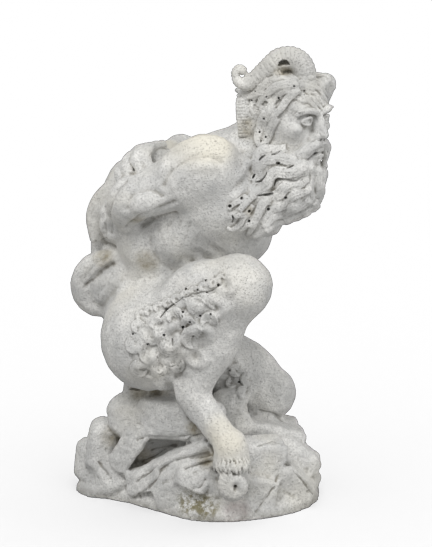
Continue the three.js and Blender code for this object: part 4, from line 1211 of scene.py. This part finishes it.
@dataclass
class Statue:
    """The carved stone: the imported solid, softened into a form, then carved and weathered."""

    node: bpy.types.Object
    name: str = "carved_stone"
    softening: int = 16
    seat_slit: Line = ((-156, 333), (-129, 333), (-101, 328), (-69, 331))
    seat_half_width: float = 6.5
    seat_depth: float = 26.0

    def form(self) -> bpy.types.Mesh:
        """The solid without its facets."""
        solid = bmesh.new()
        solid.from_mesh(self.node.data)
        bmesh.ops.remove_doubles(solid, verts=solid.verts, dist=SAME_PLACE)
        mesh = bpy.data.meshes.new("form")
        solid.to_mesh(mesh)
        solid.free()
        mesh = modified(mesh, "REMESH", mode="VOXEL", voxel_size=FORM_VOXEL)
        surface = Surface(mesh)
        rock = rockiness(surface.places)
        bed = ramp(surface.places[:, 2], 0.002, 0.02)
        surface.soften(self.softening, (1 - 0.72 * rock) * bed)
        ways = surface.normals()
        skin = self.skin(mesh)
        for fold in FOLDS:
            fold.press(surface, ways, skin)
        surface.soften(2, bed)
        surface.write()
        return mesh

    @staticmethod
    def skin(mesh: bpy.types.Mesh) -> Skin:
        """A mesh's surface."""
        shell = bmesh.new()
        shell.from_mesh(mesh)
        tree = BVHTree.FromBMesh(shell)
        shell.free()
        return Skin(tree)

    def carving(self, skin: Skin) -> Clay:
        """Everything that is carved on the form, from its skin."""
        clay = Clay()
        chisel = Chisel(clay, skin)
        Horns().carve(clay)
        Face().carve(clay)
        for side in Side:
            Ear(side).carve(clay)
        Hair().carve(chisel)
        Beard().carve(chisel)
        THIGH_CURLS.carve(chisel)
        INNER_CURLS.carve(chisel)
        chisel.slit(self.seat_slit, self.seat_half_width, self.seat_depth)
        Hoof().carve(clay)
        Hand().carve(clay)
        log.info("laid the carving: %d faces, %d cut", len(clay.added.faces), len(clay.taken.faces))
        return clay

    def build(self) -> bpy.types.Object:
        """The finished piece."""
        form = self.form()
        skin = self.skin(form)
        clay = self.carving(skin)
        mesh = modified(joined(form, clay.added), "REMESH", mode="VOXEL", voxel_size=CARVING_VOXEL)
        log.info("joined the carving: %d vertices", len(mesh.vertices))
        mesh = self.drilled(mesh, clay)
        self.weather(mesh, skin)
        self.tint(mesh, skin)
        share = min(1.0, TRIANGLES / (2 * len(mesh.vertices)))
        mesh = modified(mesh, "DECIMATE", ratio=share, use_collapse_triangulate=True)
        mesh.shade_smooth()
        mesh.name = self.name
        statue = bpy.data.objects.new(self.name, mesh)
        bpy.context.scene.collection.objects.link(statue)
        log.info("%s: %d triangles", self.name, len(mesh.polygons))
        return statue

    @staticmethod
    def drilled(mesh: bpy.types.Mesh, clay: Clay) -> bpy.types.Mesh:
        """The statue less the shapes that are cut from it."""
        tools = bpy.data.meshes.new("tools")
        clay.taken.to_mesh(tools)
        tools = modified(tools, "REMESH", mode="VOXEL", voxel_size=TOOL_VOXEL)
        cutter = bpy.data.objects.new("tools", tools)
        bpy.context.scene.collection.objects.link(cutter)
        mesh = modified(mesh, "BOOLEAN", operation="DIFFERENCE", object=cutter, solver="MANIFOLD")
        bpy.data.objects.remove(cutter)
        return mesh

    @staticmethod
    def weather(mesh: bpy.types.Mesh, skin: Skin) -> None:
        """Wears the surface: soft hollows on the figure, chisel lines, breaks and seams on the rock."""
        surface = Surface(mesh)
        surface.soften(1, np.full(len(surface.places), 1.0))
        ways = surface.normals()
        for seam in SEAMS:
            seam.press(surface, ways, skin)
        places = surface.places
        rock = rockiness(places)
        bed = ramp(places[:, 2], 0.003, 0.03)
        body = Grain(1, 34, 1.4).swell(places) + Grain(2, 9, 0.5).swell(places)
        lumps = Grain(3, 46, 6.0).swell(places) + Grain(4, 17, 3.0).swell(places)
        warp = Grain(5, 60).at(places) * CHISEL_DRIFT * MM
        across = places[:, 2] * 0.86 - places[:, 0] * 0.5 + warp
        lines = np.abs(np.sin(across / MM * math.pi / CHISEL_PITCH)) * CHISEL_DEPTH * Grain(6, 40).at(places)
        rough = Grain(7, 7, 1.8).swell(places)
        depth = (1 - rock) * body + rock * (lumps + lines + rough)
        surface.places = places + surface.normals() * (depth * bed * MM)[:, None]
        surface.write()

    @staticmethod
    def tint(mesh: bpy.types.Mesh, skin: Skin) -> None:
        """Stores what the finish reads: how hollow each place is, how far it is rock, and its patches."""
        surface = Surface(mesh)
        ways = surface.normals()
        near = ((surface.blurred(surface.places, 6) - surface.places) * ways).sum(axis=1)
        far = ((surface.blurred(surface.places, 30) - surface.places) * ways).sum(axis=1)
        # The finish darkens places by groove and hollow, painting the shade that falls in creases and
        # recesses.
        surface.attribute("groove", (near / (0.5 * MM)).clip(-1, 1))
        surface.attribute("hollow", surface.blurred((far / (3 * MM)).clip(-1, 1), 2))
        surface.attribute("rock", rockiness(surface.places))
        # How near each place is to the foot of the base, which the finish darkens.
        surface.attribute("rim", ramp(-surface.places[:, 2], -0.022, -0.006))
        for name, patches in PATCHES.items():
            surface.attribute(name, np.max([patch.share(surface.places, skin) for patch in patches], axis=0))


class Wiring:
    """The nodes of one finish."""

    def __init__(self, name: str) -> None:
        """Starts the finish with its shader."""
        self.finish = bpy.data.materials.new(name)
        self.finish.use_nodes = True
        self.tree = self.finish.node_tree
        self.shader = self.tree.nodes["Principled BSDF"]
        self.place = self.tree.nodes.new("ShaderNodeTexCoord").outputs["Object"]

    def noise(self, scale: float, detail: float = 3.0, rough: float = 0.55) -> Socket:
        """Noise in the piece's own space, so many lumps to a metre."""
        node = self.tree.nodes.new("ShaderNodeTexNoise")
        node.inputs["Scale"].default_value = scale
        node.inputs["Detail"].default_value = detail
        node.inputs["Roughness"].default_value = rough
        self.tree.links.new(self.place, node.inputs["Vector"])
        return node.outputs["Fac"]

    def pits(self, scale: float) -> Socket:
        """The distance to the nearest of scattered points, so many to a metre."""
        node = self.tree.nodes.new("ShaderNodeTexVoronoi")
        node.inputs["Scale"].default_value = scale
        self.tree.links.new(self.place, node.inputs["Vector"])
        return node.outputs["Distance"]

    def stored(self, name: str) -> Socket:
        """A value that the mesh stores."""
        node = self.tree.nodes.new("ShaderNodeAttribute")
        node.attribute_name = name
        return node.outputs["Fac"]

    def step(self, value: Socket, low: float, high: float) -> Socket:
        """A value brought to 0 below one bound and to 1 above another."""
        node = self.tree.nodes.new("ShaderNodeMapRange")
        node.inputs["From Min"].default_value = low
        node.inputs["From Max"].default_value = high
        self.tree.links.new(value, node.inputs["Value"])
        return node.outputs["Result"]

    def times(self, first: Socket, second: Socket | float) -> Socket:
        """Two values multiplied."""
        return self._math("MULTIPLY", first, second)

    def plus(self, first: Socket, second: Socket | float) -> Socket:
        """Two values added."""
        return self._math("ADD", first, second)

    def _math(self, kind: str, first: Socket, second: Socket | float) -> Socket:
        """Two values put through one sum."""
        node = self.tree.nodes.new("ShaderNodeMath")
        node.operation = kind
        self.tree.links.new(first, node.inputs[0])
        if isinstance(second, (int, float)):
            node.inputs[1].default_value = second
        else:
            self.tree.links.new(second, node.inputs[1])
        return node.outputs[0]

    def mixed(self, share: Socket, base: Socket | Triple, over: Triple) -> Socket:
        """A colour laid over another.

        Args:
            share: how much of the upper one shows.
            base: the lower colour.
            over: the upper colour.

        Returns:
            The colour that shows.
        """
        node = self.tree.nodes.new("ShaderNodeMix")
        node.data_type = "RGBA"
        lower, upper = (socket for socket in node.inputs if socket.type == "RGBA")
        upper.default_value = (*over, 1.0)
        if isinstance(base, tuple):
            lower.default_value = (*base, 1.0)
        else:
            self.tree.links.new(base, lower)
        self.tree.links.new(share, node.inputs["Factor"])
        return next(socket for socket in node.outputs if socket.type == "RGBA")

    def bump(self, height: Socket, distance: float, strength: float) -> None:
        """Roughens the light by a height field, in metres."""
        node = self.tree.nodes.new("ShaderNodeBump")
        node.inputs["Distance"].default_value = distance
        node.inputs["Strength"].default_value = strength
        self.tree.links.new(height, node.inputs["Height"])
        self.tree.links.new(node.outputs["Normal"], self.shader.inputs["Normal"])


@dataclass(frozen=True)
class Limestone:
    """Weathered pale limestone: mottled greys and creams, dirt and painted shade in the grooves, brown stain
    and painted shade in the hollows, painted grey shade in patches, pits all over.
    """

    pale: Triple = (0.86, 0.85, 0.82)
    grey: Triple = (0.56, 0.56, 0.55)
    grit: Triple = (0.50, 0.495, 0.475)
    cream: Triple = (0.80, 0.765, 0.67)
    # Dirt and painted shade: darkens the grooves.
    groove_dirt_and_shade: Triple = (0.10, 0.09, 0.07)
    # Brown stain, also painted shade in the hollows and recesses.
    brown: Triple = (0.25, 0.205, 0.115)
    # Painted shade.
    painted_shade: Triple = (0.36, 0.36, 0.36)
    moss: Triple = (0.20, 0.175, 0.085)
    rose: Triple = (0.60, 0.53, 0.51)
    # Darker towards the foot of the base.
    foot_band: Triple = (0.27, 0.26, 0.235)
    speck: Triple = (0.16, 0.16, 0.145)
    roughness: float = 0.88
    gloss: float = 0.25
    grain_depth: float = 3.0

    def material(self) -> bpy.types.Material:
        """The stone's finish."""
        made = Wiring("weathered_limestone")
        broken = made.plus(made.times(made.step(made.noise(38, 5, 0.7), 0.35, 0.65), 0.7), 0.3)
        colour = self.stained(made, self.mottled(made), broken)
        made.tree.links.new(self.darkened_and_specked(made, colour, broken), made.shader.inputs["Base Color"])
        made.shader.inputs["Roughness"].default_value = self.roughness
        made.shader.inputs["Specular IOR Level"].default_value = self.gloss
        height = made.plus(made.times(made.noise(320, 4, 0.7), 0.7), made.step(made.pits(210), 0.0, 0.35))
        height = made.plus(height, made.times(made.noise(70, 4), 1.2))
        made.bump(height, self.grain_depth * MM, 0.9)
        return made.finish

    def mottled(self, made: Wiring) -> Socket:
        """The bare stone: wide clouds of grey, small mottling and fine grit."""
        colour = made.mixed(made.step(made.noise(9, 6, 0.65), 0.40, 0.68), self.pale, self.grey)
        mottling = made.times(made.step(made.noise(55, 6, 0.75), 0.46, 0.66), 0.55)
        colour = made.mixed(mottling, colour, self.grey)
        gritty = made.times(made.step(made.noise(240, 3, 0.7), 0.44, 0.62), 0.6)
        return made.mixed(gritty, colour, self.grit)

    def stained(self, made: Wiring, colour: Socket, broken: Socket) -> Socket:
        """The stains and painted shade, from the palest to the darkest: cream, rose, painted grey shade,
        brown stain with painted shade in the hollows, and moss.
        """
        creamy = made.plus(made.times(made.step(made.noise(5.5, 3), 0.52, 0.68), 0.45), made.stored("cream"))
        colour = made.mixed(made.times(creamy, 0.8), colour, self.cream)
        colour = made.mixed(made.times(made.times(made.stored("rose"), broken), 0.8), colour, self.rose)
        # Painted shade: the darker grey patches.
        colour = made.mixed(made.times(made.stored("painted_shade"), 0.35), colour, self.painted_shade)
        # Brown in the deep hollows and in the brown patches: brown stain with painted shade where shade
        # falls in recesses.
        clouded = made.step(made.noise(7, 4), 0.40, 0.62)
        hollow_brown_and_shade = made.times(made.step(made.stored("hollow"), 0.12, 0.7), clouded)
        patches = made.times(made.times(made.stored("brown"), broken), 0.75)
        colour = made.mixed(made.plus(made.times(hollow_brown_and_shade, 0.45), patches), colour, self.brown)
        mossy = made.times(made.stored("moss"), made.step(made.noise(60, 4, 0.7), 0.42, 0.56))
        return made.mixed(made.times(mossy, 0.9), colour, self.moss)

    def darkened_and_specked(self, made: Wiring, colour: Socket, broken: Socket) -> Socket:
        """The dark rim at the foot, dirt and painted shade in the grooves, and specks in patches."""
        # Darker towards the foot of the base, broken up by noise.
        rim = made.times(made.stored("rim"), made.times(broken, 0.8))
        colour = made.mixed(rim, colour, self.foot_band)
        # Dirt and painted shade: the fine grooves are darkened, painting the shade that falls in them.
        cloud = made.plus(made.times(made.noise(14, 5, 0.65), 0.9), 0.25)
        groove_dirt_and_shade_share = made.times(made.step(made.stored("groove"), 0.16, 1.0), cloud)
        colour = made.mixed(made.times(groove_dirt_and_shade_share, 0.75), colour, self.groove_dirt_and_shade)
        specks = made.step(made.noise(150, 4, 0.7), 0.635, 0.70)
        patches = made.step(made.noise(8, 3), 0.45, 0.60)
        return made.mixed(made.times(made.times(specks, patches), 0.7), colour, self.speck)


@dataclass
class Studio:
    """A pale floor, soft light and the camera. The lamps light the statue alone."""

    statue: bpy.types.Object
    lens: float = 138.3
    sensor: float = 36.0
    floor_colour: Triple = (0.93, 0.93, 0.93)
    ambient: float = 0.48
    key_power: float = 128.0
    key_size: float = 2.0
    key_place: Triple = (-1.2, -3.0, 4.2)
    fill_power: float = 50.0
    fill_size: float = 3.0
    fill_place: Triple = (3.0, -2.2, 1.8)

    def build(self) -> None:
        """Sets the stage, the lights and the camera."""
        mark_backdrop(self.floor(), *self.lamps())
        self.surroundings()
        self.camera()
        bpy.context.scene.view_settings.view_transform = "Standard"
        log.info("studio")

    def floor(self) -> bpy.types.Object:
        """The floor, which takes the shadow."""
        plane = bmesh.new()
        bmesh.ops.create_grid(plane, x_segments=1, y_segments=1, size=30)
        mesh = bpy.data.meshes.new("floor")
        plane.to_mesh(mesh)
        plane.free()
        made = Wiring("floor_paper")
        made.shader.inputs["Base Color"].default_value = (*self.floor_colour, 1.0)
        made.shader.inputs["Roughness"].default_value = 0.9
        mesh.materials.append(made.finish)
        floor = bpy.data.objects.new("floor", mesh)
        floor.is_shadow_catcher = True
        bpy.context.scene.collection.objects.link(floor)
        return floor

    def lamps(self) -> list[bpy.types.Object]:
        """A soft lamp high on the left in front and a weaker one on the right."""
        lamps = []
        lit = bpy.data.collections.new("lit")
        lit.objects.link(self.statue)
        for name, place, size, power in (
            ("key", Vector(self.key_place), self.key_size, self.key_power),
            ("fill", Vector(self.fill_place), self.fill_size, self.fill_power),
        ):
            light = bpy.data.lights.new(name, "AREA")
            light.size = size
            light.energy = power
            lamp = bpy.data.objects.new(name, light)
            lamp.location = place
            lamp.light_linking.receiver_collection = lit
            lamp.rotation_euler = (TARGET - place).to_track_quat("-Z", "Y").to_euler()
            bpy.context.scene.collection.objects.link(lamp)
            lamps.append(lamp)
        return lamps

    def surroundings(self) -> None:
        """White surroundings, which light the shadows less than they look."""
        world = bpy.data.worlds.new("surroundings")
        world.use_nodes = True
        tree = world.node_tree
        dim = tree.nodes["Background"]
        dim.inputs["Strength"].default_value = self.ambient
        shown = tree.nodes.new("ShaderNodeBackground")
        for background in (dim, shown):
            background.inputs["Color"].default_value = (1.0, 1.0, 1.0, 1.0)
        mix = tree.nodes.new("ShaderNodeMixShader")
        ray = tree.nodes.new("ShaderNodeLightPath").outputs["Is Camera Ray"]
        tree.links.new(ray, mix.inputs[0])
        tree.links.new(dim.outputs[0], mix.inputs[1])
        tree.links.new(shown.outputs[0], mix.inputs[2])
        tree.links.new(mix.outputs[0], tree.nodes["World Output"].inputs["Surface"])
        bpy.context.scene.world = world

    def camera(self) -> None:
        """The camera at the photograph's angle."""
        seen = bpy.data.cameras.new("camera")
        seen.lens = self.lens
        seen.sensor_width = self.sensor
        camera = bpy.data.objects.new("camera", seen)
        camera.location = EYE
        camera.rotation_euler = (math.pi / 2 - TILT, 0, 0)
        bpy.context.scene.collection.objects.link(camera)
        bpy.context.scene.camera = camera


def corners() -> list[list[float]]:
    """The shown object's lowest and highest corner."""
    return [list(corner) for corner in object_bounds()]


def dress(piece: bpy.types.Object, finish: bpy.types.Material) -> None:
    """Gives every face of a piece one finish, in place of the empty slots that the modifiers leave."""
    piece.data.materials.clear()
    piece.data.materials.append(finish)
    piece.data.polygons.foreach_set("material_index", [0] * len(piece.data.polygons))


def main() -> None:
    """Builds the statue and the studio round it."""
    logging.basicConfig(level=logging.INFO, format="%(name)s: %(message)s")
    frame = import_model()
    log.info("frame with %d entries", len(frame))
    node = bpy.data.objects[NODE]
    statue = Statue(node).build()
    dress(statue, Limestone().material())
    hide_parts(NODE)
    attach(statue, "root")
    Studio(statue).build()


if __name__ == "__main__":
    main()
